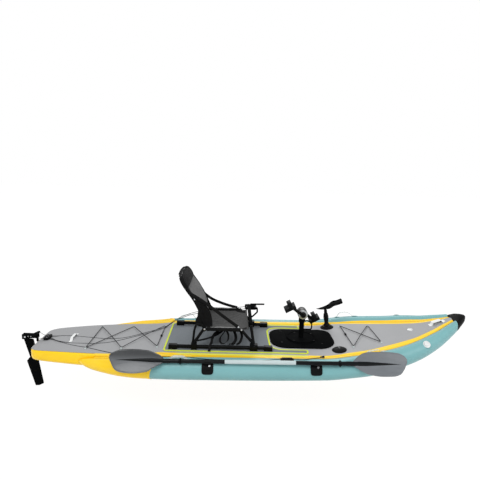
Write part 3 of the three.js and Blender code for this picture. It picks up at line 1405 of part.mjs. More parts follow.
function pedal(side) {
  const inner = headHalfWidth + crankClearance + crankThickness + 2 * gap;
  const from = side * inner;
  const to = side * (inner + pedalWidth);
  const low = Math.min(from, to);
  const high = Math.max(from, to);
  const body = solid(block(
    vec(-pedalLength / 2, low, -pedalThickness / 2), vec(pedalLength / 2, high, pedalThickness / 2)));
  const bore = solid(rod(vec(0, low - overrun, 0), vec(0, high + overrun, 0), spindleRadius + runningGap));
  const middle = (low + high) / 2;
  const half = pedalWidth / 2 - strapThickness;
  const arch = band(bend([
    vec(pedalLength * 0.1, middle - half, 0), vec(pedalLength * 0.1, middle - half, pedalStrapRise),
    vec(pedalLength * 0.1, middle + half, pedalStrapRise), vec(pedalLength * 0.1, middle + half, 0),
  ], pedalStrapRise / 3, 2), vec(1, 0, 0), pedalStrapWidth, strapThickness);
  return joined(body, solid(arch)).subtract(bore);
}

function driveGroup() {
  const group = new THREE.Group();
  group.position.set(drivePlace, 0, deck);
  const black = 0x1b1b1d;
  const silver = 0xb8b9bb;
  group.add(part('drive_plate', drivePlate(), black, 0.55, 0));
  group.add(part('drive_column', driveColumn(), black, 0.45, 0.3));
  const head = new THREE.Group();
  head.position.z = crankHeight;
  head.add(part('gear_head', gearHead(), black, 0.4, 0.4));
  head.add(part('gear_head_cover', headCover(), silver, 0.3, 0.9));
  head.add(part('crank_axle', crankAxle(), black, 0.45, 0.4));
  head.add(part('starboard_crank', starboardCrank(), black, 0.45, 0.4));
  head.add(part('drive_shaft', driveShaft(), silver, 0.35, 0.9));
  for (const [name, side, angle] of [['port', 1, crankAngle + 180], ['starboard', -1, crankAngle]]) {
    const mesh = part(`${name}_pedal`, pedal(side), black, 0.6, 0);
    const turn = degrees(angle);
    mesh.position.set(crankLength * Math.cos(turn), 0, crankLength * Math.sin(turn));
    mesh.rotation.y = degrees(pedalTilt);
    head.add(mesh);
  }
  const prop = part('propeller', propeller(), 0x202124, 0.5, 0);
  prop.position.z = -propDepth;
  group.add(head, prop);
  return group;
}

// Rod holder and accessory base

function domeBase(radius, height, topRadius) {
  return new THREE.LatheGeometry([
    [0, 0], [radius, 0], [radius, height / 5], [radius * 0.78, height * 0.55], [topRadius, height], [0, height],
  ].map(([r, z]) => new THREE.Vector2(r, z)), fineSides).rotateX(Math.PI / 2);
}

function rodTube() {
  const knuckle = holderPostRadius - gap;
  const half = rodTubeLength / 2;
  const aft = -half * 0.67;
  const fore = aft + rodTubeLength;
  const outer = solid(rod(vec(aft, 0, 0), vec(fore, 0, 0), rodTubeRadius));
  const bore = solid(rod(vec(aft - overrun, 0, 0), vec(fore + overrun, 0, 0), rodTubeBore));
  const mouth = solid(block(
    vec(-half, -rodTubeRadius, rodTubeBore * 0.3), vec(-half * 0.05, rodTubeRadius, rodTubeRadius * 2)));
  const seat = rod(
    vec(0, -knuckle, -rodTubeRadius - pivotEyeRadius / 2),
    vec(0, knuckle, -rodTubeRadius - pivotEyeRadius / 2), pivotEyeRadius * 0.7);
  return joined(outer, seat).subtract(bore).subtract(mouth);
}

function holderPost() {
  const half = pivotEyeRadius * 0.7;
  const inner = holderPostRadius + gap;
  const outer = inner + earThickness;
  const low = holderPostHeight - pivotEyeRadius * 2;
  const column = rod(
    vec(0, 0, gap), vec(0, 0, holderPostHeight - pivotEyeRadius), holderPostRadius * 1.25, holderPostRadius);
  const bridge = block(vec(-half, -outer, low), vec(half, outer, holderPostHeight - pivotEyeRadius));
  const ears = [1, -1].flatMap((side) => {
    const [from, to] = side > 0 ? [inner, outer] : [-outer, -inner];
    return [
      block(vec(-half, from, low), vec(half, to, holderPostHeight)),
      rod(vec(0, from, holderPostHeight), vec(0, to, holderPostHeight), half),
    ];
  });
  return joined(column, bridge, ...ears);
}

// Group whose origin lies on the deck and whose Z stands square to it
function onDeck(x, y, reach) {
  const group = new THREE.Group();
  const aft = hullAt(x - reach).top;
  const fore = hullAt(x + reach).top;
  group.position.set(x, y, (aft + fore) / 2 + gap);
  group.rotation.y = -Math.atan2(fore - aft, 2 * reach);
  return group;
}

function holderGroup() {
  const black = 0x19191b;
  const stand = onDeck(rodHolderPlace, rodHolderSide, holderBaseRadius);
  stand.add(part('rod_holder_base', domeBase(holderBaseRadius, holderBaseHeight, holderPostRadius * 1.6), black, 0.5, 0));
  const post = part('rod_holder_post', holderPost(), black, 0.5, 0);
  post.position.z = holderBaseHeight;
  post.rotation.z = degrees(rodTubeYaw);
  const holder = part('rod_holder_tube', rodTube(), black, 0.5, 0);
  holder.rotation.set(0, -degrees(rodTubeRise) - stand.rotation.y, degrees(rodTubeYaw), 'ZYX');
  const offset = vec(0, 0, rodTubeRadius + pivotEyeRadius / 2).applyEuler(holder.rotation);
  holder.position.set(0, 0, holderBaseHeight + holderPostHeight).add(offset);
  stand.add(post, holder);
  const second = onDeck(accessoryPlace, -accessorySide, holderBaseRadius);
  second.add(part('accessory_base', domeBase(holderBaseRadius, accessoryHeight, holderPostRadius), black, 0.5, 0));
  const group = new THREE.Group();
  group.add(stand, second);
  return group;
}

// Paddle pieces: the group lies along X beside the starboard tube and faces out from it

const paddleAngle = Math.atan2(paddleLift, paddleSpread);

function paddleBlade(end) {
  const half = paddleBladeWidth / 2;
  const length = bladeLength;
  const shape = new THREE.Shape();
  shape.moveTo(0, -paddleShaftRadius * 0.6);
  shape.bezierCurveTo(length * 0.12, -half * 0.75, length * 0.3, -half, length * 0.55, -half);
  shape.bezierCurveTo(length * 0.85, -half, length, -half * 0.75, length, -half * 0.1);
  shape.bezierCurveTo(length, half * 0.7, length * 0.9, half, length * 0.6, half);
  shape.bezierCurveTo(length * 0.3, half, length * 0.12, half * 0.75, 0, paddleShaftRadius * 0.6);
  const face = slab(shape, paddleBladeThickness, bendSteps).translate(0, 0, -paddleBladeThickness / 2);
  const neck = rod(vec(-bladeLength * 0.12, 0, 0), vec(length * neckShare, 0, 0), neckRadius, neckTipRadius, roundSides / 2);
  const whole = joined(face, neck);
  return end > 0 ? whole : whole.rotate([0, 0, 180]);
}

// The shaft's axis at a place along the hull, and the way out from the tube towards it
function paddleAxis(x) {
  const middle = hullAt(0);
  const outward = vec(0, -Math.cos(paddleAngle), Math.sin(paddleAngle));
  const point = vec(x, -middle.tubeCentre - paddleSpread, middle.tubeHeight + paddleLift);
  return { point: point.addScaledVector(outward, x * paddleFlare), outward };
}

const keeperWrapShares = [0, 0.2, 0.4, 0.6, 0.8, 1];

function keeper(place) {
  const group = new THREE.Group();
  const h = hullAt(place);
  const axis = paddleAxis(place);
  const stand = axis.point.clone().sub(vec(place, -h.tubeCentre, h.tubeHeight)).dot(axis.outward);
  const low = Math.max(h.tubeHalfWidth, h.tubeHalfHeight) + gap;
  const wrapRadius = low + keeperWrapLift;
  const reach = paddleShaftRadius * 2;
  const width = paddleShaftRadius + runningGap;
  const tall = low + keeperArmHeight;
  const under = (y) => [y, low - y * y / 2 / low + 2 * gap];
  const ring = (x) => {
    const floor = stand + x * paddleFlare - paddleShaftRadius - gap;
    return [
      under(-reach), under(-reach / 2), under(0), under(reach / 2), under(reach), [reach, floor - keeperArm],
      [width + keeperArm, floor], [width + keeperArm, tall], [width, tall], [width, floor], [-width, floor],
      [-width, tall], [-width - keeperArm, tall], [-width - keeperArm, floor], [-reach, floor - keeperArm],
    ].map(([y, z]) => vec(x, y, z));
  };
  const body = loft([ring(-keeperLength / 2), ring(keeperLength / 2)]);
  const around = (share, lift) => {
    const angle = degrees(THREE.MathUtils.lerp(keeperWrapStart, keeperWrapEnd, share));
    return [-(wrapRadius + lift) * Math.sin(angle), (wrapRadius + lift) * Math.cos(angle)];
  };
  const wrapOutline = [
    ...keeperWrapShares.map((share) => around(share, 0)),
    ...[...keeperWrapShares].reverse().map((share) => around(share, keeperWrapThickness)),
  ];
  const wrapRing = (x) => wrapOutline.map(([y, z]) => vec(x, y, z));
  const wrap = loft([wrapRing(-keeperLength / 2), wrapRing(keeperLength / 2)]);
  const shape = joined(body, wrap);
  group.add(part(place < 0 ? 'rear_paddle_keeper' : 'front_paddle_keeper', shape, 0x1c1d1f, 0.7, 0));
  group.position.copy(axis.point).addScaledVector(axis.outward, -stand);
  group.rotation.x = Math.PI / 2 - paddleAngle;
  return group;
}

function paddleGroup() {
  const group = new THREE.Group();
  group.position.copy(paddleAxis(paddleMiddle).point);
  group.rotation.set(Math.PI / 2 - paddleAngle, -Math.atan(paddleFlare), 0);
  const neckEnd = paddleLength / 2 - bladeLength * 1.12 - gap;
  group.add(part('paddle_shaft', rod(vec(-neckEnd, 0, 0), vec(neckEnd, 0, 0), paddleShaftRadius), 0xd9dadb, 0.35, 0));
  for (const [name, end] of [['rear_paddle_blade', -1], ['front_paddle_blade', 1]]) {
    const mesh = part(name, paddleBlade(end), 0x70727e, 0.5, 0);
    mesh.position.x = end * (paddleLength / 2 - bladeLength);
    if (end > 0) mesh.rotation.x = degrees(bladeFeather);
    group.add(mesh);
  }
  return group;
}

const kayak = new THREE.Group();
kayak.name = 'fishing_kayak';
kayak.add(hullGroup(), seatGroup(), steeringGroup(), rudderGroup(), driveGroup(), holderGroup());
kayak.add(keeper(-aftKeeperPlace), keeper(foreKeeperPlace), paddleGroup());

export default kayak;
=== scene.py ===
"""Fishing kayak: the dressed model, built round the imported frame."""

import json
import math
from types import SimpleNamespace

import bmesh
import bpy
from mathutils import Matrix, Vector

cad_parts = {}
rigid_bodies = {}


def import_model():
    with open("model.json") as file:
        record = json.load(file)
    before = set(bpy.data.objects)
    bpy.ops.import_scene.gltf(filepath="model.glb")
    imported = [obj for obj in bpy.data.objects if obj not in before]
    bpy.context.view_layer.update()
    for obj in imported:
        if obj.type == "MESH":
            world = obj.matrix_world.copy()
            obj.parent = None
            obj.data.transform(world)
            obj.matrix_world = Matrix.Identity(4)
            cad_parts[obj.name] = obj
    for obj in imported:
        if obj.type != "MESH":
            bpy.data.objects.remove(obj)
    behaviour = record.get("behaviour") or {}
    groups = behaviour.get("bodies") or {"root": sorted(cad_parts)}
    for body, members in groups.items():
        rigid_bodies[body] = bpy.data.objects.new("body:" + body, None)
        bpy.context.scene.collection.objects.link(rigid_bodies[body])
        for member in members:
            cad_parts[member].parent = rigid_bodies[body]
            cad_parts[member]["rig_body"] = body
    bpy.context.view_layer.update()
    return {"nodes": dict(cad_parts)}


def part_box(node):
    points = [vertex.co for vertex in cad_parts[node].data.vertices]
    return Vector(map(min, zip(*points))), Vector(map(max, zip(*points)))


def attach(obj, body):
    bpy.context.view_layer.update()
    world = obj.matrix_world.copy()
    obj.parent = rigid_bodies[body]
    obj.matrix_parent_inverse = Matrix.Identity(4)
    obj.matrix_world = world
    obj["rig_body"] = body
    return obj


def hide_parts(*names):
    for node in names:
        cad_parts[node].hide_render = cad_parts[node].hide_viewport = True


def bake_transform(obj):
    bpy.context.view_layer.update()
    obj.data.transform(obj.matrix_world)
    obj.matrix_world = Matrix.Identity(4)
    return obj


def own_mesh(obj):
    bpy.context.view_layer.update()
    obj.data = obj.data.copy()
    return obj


bl_info = {
    "name": "Fishing Kayak",
    "version": (1, 0, 0),
    "blender": (4, 5, 0),
    "location": "3D View > Sidebar > Kayak",
    "description": "Dresses an inflatable pedal kayak with its seat, steering, drive and paddle",
    "category": "Add Mesh",
}

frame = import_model()

X, Y, Z = Vector((1, 0, 0)), Vector((0, 1, 0)), Vector((0, 0, 1))
SIDES = (("port", 1), ("starboard", -1))
SKIN = 0.0033           # the deck skin's thickness with its gap to the board
WELL = (0.311, 0.551, 0.045)    # the drive well's aft end, fore end and half width
TAIL = (0.605, 0.47, 0.25)      # the tail seam: start ahead of the origin, slope in Y and in Z


def tone(code):
    """A written colour such as 84b5b0 as the three linear parts that shaders use."""
    parts = [int(code[i:i + 2], 16) / 255 for i in (0, 2, 4)]
    return tuple(c / 12.92 if c <= 0.04045 else ((c + 0.055) / 1.055) ** 2.4 for c in parts)


def colour(name, description, code):
    return bpy.props.FloatVectorProperty(
        name=name, description=description, subtype="COLOR", size=3, min=0, max=1,
        default=tone(code))


def size(name, description, default):
    return bpy.props.FloatProperty(
        name=name, description=description, default=default, min=0, unit="LENGTH",
        subtype="DISTANCE")


# ---------------------------------------------------------------- settings

class KayakHullSettings(bpy.types.PropertyGroup):
    teal: colour("Tube", "Coated fabric of the side tubes", "79adb0")
    yellow: colour("Trim", "Coated fabric of the board, the tube tails and the rail strips",
                   "fcd018")
    deck: colour("Deck", "Coated fabric of the deck", "9b9c9e")
    pad: colour("Pad", "Foam of the deck pad", "777d82")
    border: colour("Pad border", "Foam that shows round the deck pad", "d4e23a")
    border_width: size("Border width", "Width of the border round the deck pad", 0.014)
    groove: size("Groove", "Depth of the fold between board and tube", 0.005)


class KayakSeatSettings(bpy.types.PropertyGroup):
    cloth: colour("Sling", "Cloth of the seat's sling", "4a4a4a")
    mesh: colour("Back mesh", "Open cloth on the front of the back", "696969")
    dark: colour("Dark cloth", "Padded cloth of the head and the sides", "060607")
    crease: size("Crease", "Height of the folds that run from the sling's rear", 0.006)
    strap: size("Strap", "Thickness of the webbing", 0.003)


class KayakGearSettings(bpy.types.PropertyGroup):
    black: colour("Plastic", "Moulded plastic of boxes, bases and the plate", "0c0d0e")
    metal: colour("Metal", "Coated bars and castings", "0b0c0d")
    silver: colour("Silver", "Bare metal of the drive's housing", "b4b7b8")
    rope: colour("Cord", "Cover of the cords and bungees", "26282b")
    rounding: size("Rounding", "Width of the rounded edges of moulded pieces", 0.0012)


class KayakPaddleSettings(bpy.types.PropertyGroup):
    blade: colour("Blade", "Moulded blades of the paddle", "6b7075")
    shaft: colour("Shaft", "Middle of the paddle's shaft", "bac8c9")
    spoon: size("Spoon", "Depth of the curve of each blade", 0.012)


class KayakStageSettings(bpy.types.PropertyGroup):
    lens: bpy.props.FloatProperty(
        name="Lens", description="Focal length of the camera", default=31.79, min=1, unit="CAMERA")
    floor: size("Floor", "Distance of the floor below the hull's flat bottom", 0.352)
    sky: bpy.props.FloatProperty(
        name="Sky", description="Strength of the even light from all round", default=0.62, min=0)


def turns(count):
    """Even angles round a circle."""
    return [2 * math.pi * i / count for i in range(count)]


def evenly(low, length, count):
    """Even places from low over a length, both ends included."""
    return [low + length * i / count for i in range(count + 1)]


def settings(name):
    return getattr(bpy.context.scene, "kayak_" + name)


# ---------------------------------------------------------------- finishes

class Value:
    """A shader socket that takes part in Python sums."""

    def __init__(self, finish, socket):
        self.finish = finish
        self.socket = socket

    def calc(self, operation, *terms):
        return self.finish.node("ShaderNodeMath", {"operation": operation}, dict(enumerate(terms)))

    def __add__(self, other):
        return self.calc("ADD", self, other)

    __radd__ = __add__

    def __sub__(self, other):
        return self.calc("SUBTRACT", self, other)

    def __rsub__(self, other):
        return self.calc("SUBTRACT", other, self)

    def __mul__(self, other):
        return self.calc("MULTIPLY", self, other)

    __rmul__ = __mul__

    def __truediv__(self, other):
        return self.calc("DIVIDE", self, other)

    def __pow__(self, other):
        return self.calc("POWER", self, other)

    def __abs__(self):
        return self.calc("ABSOLUTE", self)


class Finish:
    """One procedural material: its nodes are written as expressions."""

    def __init__(self, name, base, roughness=0.5, metallic=0.0, coat=0.0, shine=0.5):
        self.material = bpy.data.materials.new(name)
        self.material.use_nodes = True
        self.tree = self.material.node_tree
        self.shader = self.tree.nodes["Principled BSDF"]
        self.base = (*base, 1)
        self.set("Base Color", self.base)
        self.set("Roughness", roughness)
        self.set("Metallic", metallic)
        self.set("Coat Weight", coat)
        self.set("Specular IOR Level", shine)
        self.material.diffuse_color = self.base

    def set(self, name, value):
        self.join(self.shader.inputs[name], value)

    def join(self, socket, value):
        if isinstance(value, Value):
            self.tree.links.new(value.socket, socket)
        else:
            socket.default_value = value

    def node(self, kind, options=None, links=None, out=0):
        made = self.tree.nodes.new(kind)
        for key, value in (options or {}).items():
            if key == "stops":
                for stop, (place, shade) in zip(made.color_ramp.elements, value):
                    stop.position, stop.color = place, shade
            else:
                setattr(made, key, value)
        for key, value in (links or {}).items():
            self.join(made.inputs[key], value)
        return Value(self, made.outputs[out])

    def place(self):
        return self.node("ShaderNodeTexCoord", out="Object")

    def lay(self):
        return self.node("ShaderNodeUVMap", {"uv_map": "lay"})

    def split(self, vector):
        made = self.node("ShaderNodeSeparateXYZ", links={0: vector})
        return [Value(self, socket) for socket in made.socket.node.outputs]

    def stretch(self, vector, scale):
        return self.node("ShaderNodeMapping", links={"Vector": vector, "Scale": scale})

    def noise(self, vector, scale, detail=3.0, roughness=0.55):
        return self.node("ShaderNodeTexNoise", links={
            "Vector": vector, "Scale": scale, "Detail": detail, "Roughness": roughness})

    def cells(self, vector, scale, feature="F1"):
        return self.node("ShaderNodeTexVoronoi", {"feature": feature},
                         {"Vector": vector, "Scale": scale})

    def sine(self, value, pitch):
        phase = value * (2 * math.pi / pitch)
        return phase.calc("SINE", phase)

    def rise(self, value, low, high):
        return self.node("ShaderNodeMapRange", {"interpolation_type": "SMOOTHSTEP"}, {
            "Value": value, "From Min": low, "From Max": high, "To Min": 0.0, "To Max": 1.0})

    def mix(self, factor, first, second):
        shades = [(*shade, 1) if isinstance(shade, tuple) and len(shade) == 3 else shade
                  for shade in (first, second)]
        return self.node("ShaderNodeMix", {"data_type": "RGBA"},
                         {0: factor, 6: shades[0], 7: shades[1]}, 2)

    def bump(self, height, distance, strength=1.0, below=None):
        links = {"Height": height, "Distance": distance, "Strength": strength}
        if below is not None:
            links["Normal"] = below
        made = self.node("ShaderNodeBump", links=links)
        self.set("Normal", made)
        return made


def shade(base, factor, plus=0.0):
    return tuple(min(1.0, c * factor + plus) for c in base[:3])


def coated(name, base, where=None, second=None, roughness=0.36):
    """Coated fabric: fine weave under a satin skin, faint blotches and pulled wrinkles."""
    f = Finish(name, base, roughness, shine=0.32)
    at = f.place()
    x, y, z = f.split(at)
    skin = base
    if where is not None:
        skin = f.mix(where(f, x, y, z), base, second)
    blotch = f.noise(at, 5.0, 4.0)
    scuff = f.noise(f.stretch(at, (3.0, 30.0, 30.0)), 9.0, 5.0, 0.65)
    f.set("Base Color", f.mix(
        f.rise(blotch, 0.35, 0.75) * 0.10 + f.rise(scuff, 0.62, 0.8) * 0.10, skin,
        shade(base, 0.72)))
    f.set("Roughness", f.rise(scuff, 0.4, 0.8) * 0.12 + roughness - 0.05)
    weave = f.sine(x + z * 0.3, 0.0016) * f.sine(y + z, 0.0016)
    waves = f.noise(f.stretch(at, (9.0, 1.6, 1.6)), 2.2, 2.0)
    under = f.bump(waves, 0.004, 0.35)
    f.bump(weave, 0.00015, 0.35, under)
    return f.material


def grained(name, base, roughness=0.5, coat=0.0, grain=0.0009, shine=0.09):
    """Moulded plastic: a fine pebbled grain, slight flow marks and rubbed high spots."""
    f = Finish(name, base, roughness, coat=coat, shine=shine)
    at = f.place()
    flow = f.noise(at, 7.0, 4.0)
    rub = f.noise(at, 45.0, 5.0, 0.6)
    f.set("Base Color", f.mix(f.rise(rub, 0.55, 0.8) * 0.22, base, shade(base, 1.3, 0.008)))
    f.set("Roughness",
          f.rise(flow, 0.3, 0.7) * 0.10 + f.rise(rub, 0.5, 0.8) * 0.08 + roughness - 0.08)
    f.bump(f.cells(at, 1 / grain), grain * 0.12, 0.5)
    return f.material


def satin_metal(name, base, roughness=0.34, along=(1.0, 1.0, 1.0)):
    """Coated or bare metal: long fine draw marks, with dust in the roughness."""
    bright = sum(base) > 0.3
    dulling, metallic, shine = (0.0, 0.85, 0.3) if bright else (0.15, 0.15, 0.10)
    f = Finish(name, base, roughness + dulling, metallic, shine=shine)
    at = f.place()
    lines = f.noise(f.stretch(at, along), 60.0, 4.0)
    dust = f.noise(at, 14.0, 4.0)
    f.set("Base Color", f.mix(f.rise(dust, 0.45, 0.8) * 0.25, base, shade(base, 1.5)))
    f.set("Roughness",
          f.rise(lines, 0.3, 0.7) * 0.14 + f.rise(dust, 0.4, 0.8) * 0.08 + roughness - 0.08)
    f.bump(lines, 0.0003, 0.25)
    return f.material


def cloth(name, base, pitch=0.0022, open_weave=0.0, roughness=0.85):
    """Woven cloth: warp and weft in the object's own place, with worn fold lines."""
    f = Finish(name, base, roughness, shine=0.15)
    at = f.place()
    x, y, z = f.split(at)
    warp = f.sine(x - z * 0.6, pitch)
    weft = f.sine(y, pitch)
    weave = warp * weft
    worn = f.noise(at, 16.0, 5.0, 0.6)
    tint = f.rise(worn, 0.35, 0.8) * 0.35
    body = f.mix(tint, base, shade(base, 1.35, 0.01))
    holes = f.rise(weave, 0.1, 0.8) * open_weave
    f.set("Base Color", f.mix(holes + f.rise(weave, -0.9, 0.2) * 0.12, body, shade(base, 0.35)))
    f.set("Roughness", f.rise(worn, 0.3, 0.8) * 0.1 + roughness - 0.06)
    puckers = f.bump(f.noise(f.stretch(at, (4.0, 4.0, 4.0)), 7.0, 3.0), 0.004, 0.3)
    f.bump(weave, 0.0004, 0.6, puckers)
    f.set("Sheen Weight", 0.06 if sum(base) > 0.03 else 0.01)
    return f.material


def webbing(name, base, pitch=0.0026):
    """Woven strap: ribs across its run, read from the piece's own UV map."""
    f = Finish(name, base, 0.78, shine=0.15)
    u, v, _ = f.split(f.lay())
    rib = f.sine(u, pitch)
    edge = f.rise(abs(v - 0.5), 0.40, 0.47)
    wear = f.noise(f.place(), 40.0, 4.0)
    f.set("Base Color",
          f.mix(f.rise(wear, 0.4, 0.8) * 0.3 + edge * 0.25, base, shade(base, 1.5, 0.012)))
    f.set("Roughness", f.rise(rib, -1.0, 1.0) * 0.12 + 0.7)
    f.bump(rib, 0.0004, 0.7)
    return f.material


def braid(name, base, pitch=0.006):
    """Cord cover: two sets of strands that cross as they wind round."""
    f = Finish(name, base, 0.75, shine=0.2)
    u, v, _ = f.split(f.lay())
    starts = 4
    turn, run = v * (2 * math.pi * starts), u * (2 * math.pi / pitch)
    one, two = (phase.calc("SINE", phase) for phase in (run + turn, run - turn))
    strands = one.calc("MAXIMUM", one, two)
    f.set("Base Color", f.mix(f.rise(strands, -0.2, 0.9) * 0.6, shade(base, 0.6), base))
    f.set("Roughness", f.rise(strands, -1.0, 1.0) * 0.1 + 0.68)
    f.bump(strands, 0.0005, 0.6)
    return f.material


def foam(name, base):
    """Brushed foam: fine pits with faint strokes across the deck."""
    f = Finish(name, base, 0.88)
    at = f.place()
    stroke = f.noise(f.stretch(at, (1.0, 14.0, 1.0)), 55.0, 4.0)
    pits = f.cells(at, 650.0)
    patch = f.noise(at, 4.0, 3.0)
    f.set("Base Color", f.mix(
        f.rise(stroke, 0.3, 0.75) * 0.22 + f.rise(patch, 0.4, 0.7) * 0.08, base, shade(base, 0.74)))
    f.set("Roughness", f.rise(pits, 0.1, 0.6) * 0.08 + 0.84)
    f.bump(pits + stroke * 0.5, 0.0004, 0.6)
    return f.material


def banded(name, base, groove_shade, inside):
    """Coated strip with painted shade along its groove and its outer edge, and a pale inner band
    beside the pad, from its UV map.
    """
    f = Finish(name, base, 0.36, shine=0.32)
    _, v, _ = f.split(f.lay())
    at = f.place()
    # seam is a mask of painted shade: the strip turns to its darker second colour near its groove by
    # the board and near its outer edge on the tube.
    seam = f.rise(abs(v - 0.285), 0.07, 0.02) + f.rise(abs(v - 0.70), 0.075, 0.03)
    blotch = f.noise(at, 8.0, 4.0)
    x, _, _ = f.split(at)
    pale = f.rise(v * -1, -0.268, -0.256) * f.rise(x, -0.66, -0.60) * f.rise(x * -1, -0.46, -0.41)
    f.set("Base Color",
          f.mix(pale * 0.85, f.mix(seam * 0.75 + f.rise(blotch, 0.4, 0.8) * 0.12, base, groove_shade),
                inside))
    f.set("Roughness", f.rise(blotch, 0.3, 0.8) * 0.12 + 0.3)
    f.bump(f.noise(f.stretch(at, (6.0, 30.0, 30.0)), 4.0, 3.0), 0.003, 0.25)
    return f.material


def clear_plastic(name, base, alpha=1.0):
    """Pale soft plastic with a milky body and a polished skin."""
    f = Finish(name, base, 0.3, coat=0.3)
    f.set("Alpha", alpha)
    at = f.place()
    milk = f.noise(at, 30.0, 3.0)
    f.set("Base Color", f.mix(f.rise(milk, 0.3, 0.8) * 0.25, base, shade(base, 0.8)))
    f.set("Roughness", f.rise(milk, 0.3, 0.7) * 0.12 + 0.24)
    f.bump(milk, 0.0006, 0.3)
    return f.material


def blade_plastic(name, base, origin, across, depth):
    """Paddle blade: mottled moulded plastic, with painted shade that makes it darker above the spine
    than below it.
    """
    f = Finish(name, base, 0.36, coat=0.15)
    at = f.place()
    away = f.node("ShaderNodeVectorMath", {"operation": "SUBTRACT"}, {0: at, 1: origin})
    height = f.node("ShaderNodeVectorMath", {"operation": "DOT_PRODUCT"}, {0: away, 1: across},
                    "Value")
    flow = f.noise(f.stretch(at, (2.0, 9.0, 9.0)), 8.0, 5.0, 0.6)
    # Painted shade: above the spine the blade darkens towards a fifth of its colour, by the share
    # given as depth.
    upper = f.rise(height, -0.012, 0.05)
    marks = f.noise(at, 120.0, 3.0)
    upper_shaded = f.mix(upper * depth, base, shade(base, 0.2))
    f.set("Base Color", f.mix(f.rise(flow, 0.4, 0.75) * 0.25, upper_shaded, shade(base, 0.6)))
    f.set("Roughness", f.rise(marks, 0.4, 0.8) * 0.15 + 0.3)
    f.bump(flow + marks * 0.2, 0.0008, 0.3)
    return f.material


made_finishes = {}


def finish(name):
    """The shared finishes, each made on its first use."""
    if name not in made_finishes:
        hull, seat = settings("hull"), settings("seat")
        gear, paddle = settings("gear"), settings("paddle")
        yellow, teal = tuple(hull.yellow), tuple(hull.teal)

        def tail(f, x, y, z):
            start, out, up = TAIL
            return f.rise((x + abs(y) * out - z * up + start) * -1, -0.0015, 0.0015)

        makers = {
            "tube": lambda: coated(name, teal, tail, yellow),
            "trim": lambda: coated(name, yellow),
            # The strip's second colour, dfa81c, is painted shade for its groove and outer edge.
            "strip": lambda: banded(name, tone("f8d022"), tone("dfa81c"), tone("d2dc62")),
            "deck": lambda: coated(name, tuple(hull.deck), roughness=0.5),
            "pad": lambda: foam(name, tuple(hull.pad)),
            "border": lambda: foam(name, tuple(hull.border)),
            "plastic": lambda: grained(name, tuple(gear.black), 0.5),
            "gloss_plastic": lambda: grained(name, tuple(gear.black), 0.34, 0.15, shine=0.2),
            "matte": lambda: grained(name, tone("08090a"), 0.85, shine=0.02),
            "rubber": lambda: grained(name, tone("0b0c0d"), 0.62, grain=0.0014),
            "metal": lambda: satin_metal(name, tuple(gear.metal), 0.4, (0.3, 4.0, 4.0)),
            "silver": lambda: satin_metal(name, tuple(gear.silver), 0.3, (6.0, 0.4, 6.0)),
            "rope": lambda: braid(name, tuple(gear.rope)),
            "sheath": lambda: grained(name, tone("2a2b2e"), 0.45, grain=0.0006),
            "sling": lambda: cloth(name, tuple(seat.cloth)),
            "mesh": lambda: cloth(name, tuple(seat.mesh), 0.0042, 0.75),
            "dark_cloth": lambda: cloth(name, tuple(seat.dark), 0.0018),
            # piping is pale grey cloth for the strip on the sling's sleeves, a painted highlight.
            "piping": lambda: cloth(name, tone("8d8d8d"), 0.0016),
            "thread": lambda: cloth(name, tone("57585a"), 0.0008),
            "dark_web": lambda: webbing(name, tone("0b0b0c")),
            "pale_web": lambda: webbing(name, tone("dadcdb")),
            "clear": lambda: clear_plastic(name, tone("cfdad9"), 0.55),
            "valve": lambda: clear_plastic(name, tone("d9dcdc")),
            "steel": lambda: satin_metal(name, tone("c9cbcd"), 0.28),
            "shaft": lambda: grained(name, tuple(paddle.shaft), 0.3, 0.3, 0.0007, 0.22),
            "sleeve": lambda: grained(name, tone("0c0f11"), 0.4, 0.1, 0.0008),
        }
        made_finishes[name] = makers[name]()
    return made_finishes[name]


# ---------------------------------------------------------------- mesh tools

def raw(name, verts, faces, uvs=None):
    """An object with a plain mesh, and with the UV map that the finishes read."""
    mesh = bpy.data.meshes.new(name)
    mesh.from_pydata([tuple(v) for v in verts], [], faces)
    if uvs:
        layer = mesh.uv_layers.new(name="lay")
        for loop in mesh.loops:
            layer.data[loop.index].uv = uvs[loop.vertex_index]
    return bpy.data.objects.new(name, mesh)


def piece(name, verts, faces, finishes, body, replaces=(), slot=None, limit=40.0, uvs=None,
          marks=None, ride=True):
    """A closed mesh with its doubles merged, its faces outward and its hard edges kept."""
    obj = raw(name, verts, faces, uvs)
    if marks:
        obj.data.polygons.foreach_set("material_index", marks)
    return settle(obj, finishes, body, replaces, limit, ride=ride)


def settle(obj, finishes, body, replaces=(), limit=40.0, merge=1e-5, ride=True):
    if obj.name not in bpy.context.scene.collection.objects:
        bpy.context.scene.collection.objects.link(obj)
    mesh = obj.data
    bm = bmesh.new()
    bm.from_mesh(mesh)
    bmesh.ops.remove_doubles(bm, verts=bm.verts, dist=merge)
    bmesh.ops.recalc_face_normals(bm, faces=bm.faces)
    marks = isinstance(finishes, list)
    for face in bm.faces:
        face.smooth = True
        face.material_index = face.material_index if marks else 0
    for edge in bm.edges:
        edge.smooth = len(edge.link_faces) == 2 and edge.calc_face_angle(0) < math.radians(limit)
    kept = [face.material_index for face in bm.faces]
    bm.to_mesh(mesh)
    bm.free()
    mesh.materials.clear()
    for label in finishes if marks else [finishes]:
        mesh.materials.append(finish(label) if isinstance(label, str) else label)
    mesh.polygons.foreach_set("material_index", kept)
    if replaces:
        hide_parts(*replaces)
    if ride:
        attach(obj, body)
    return obj


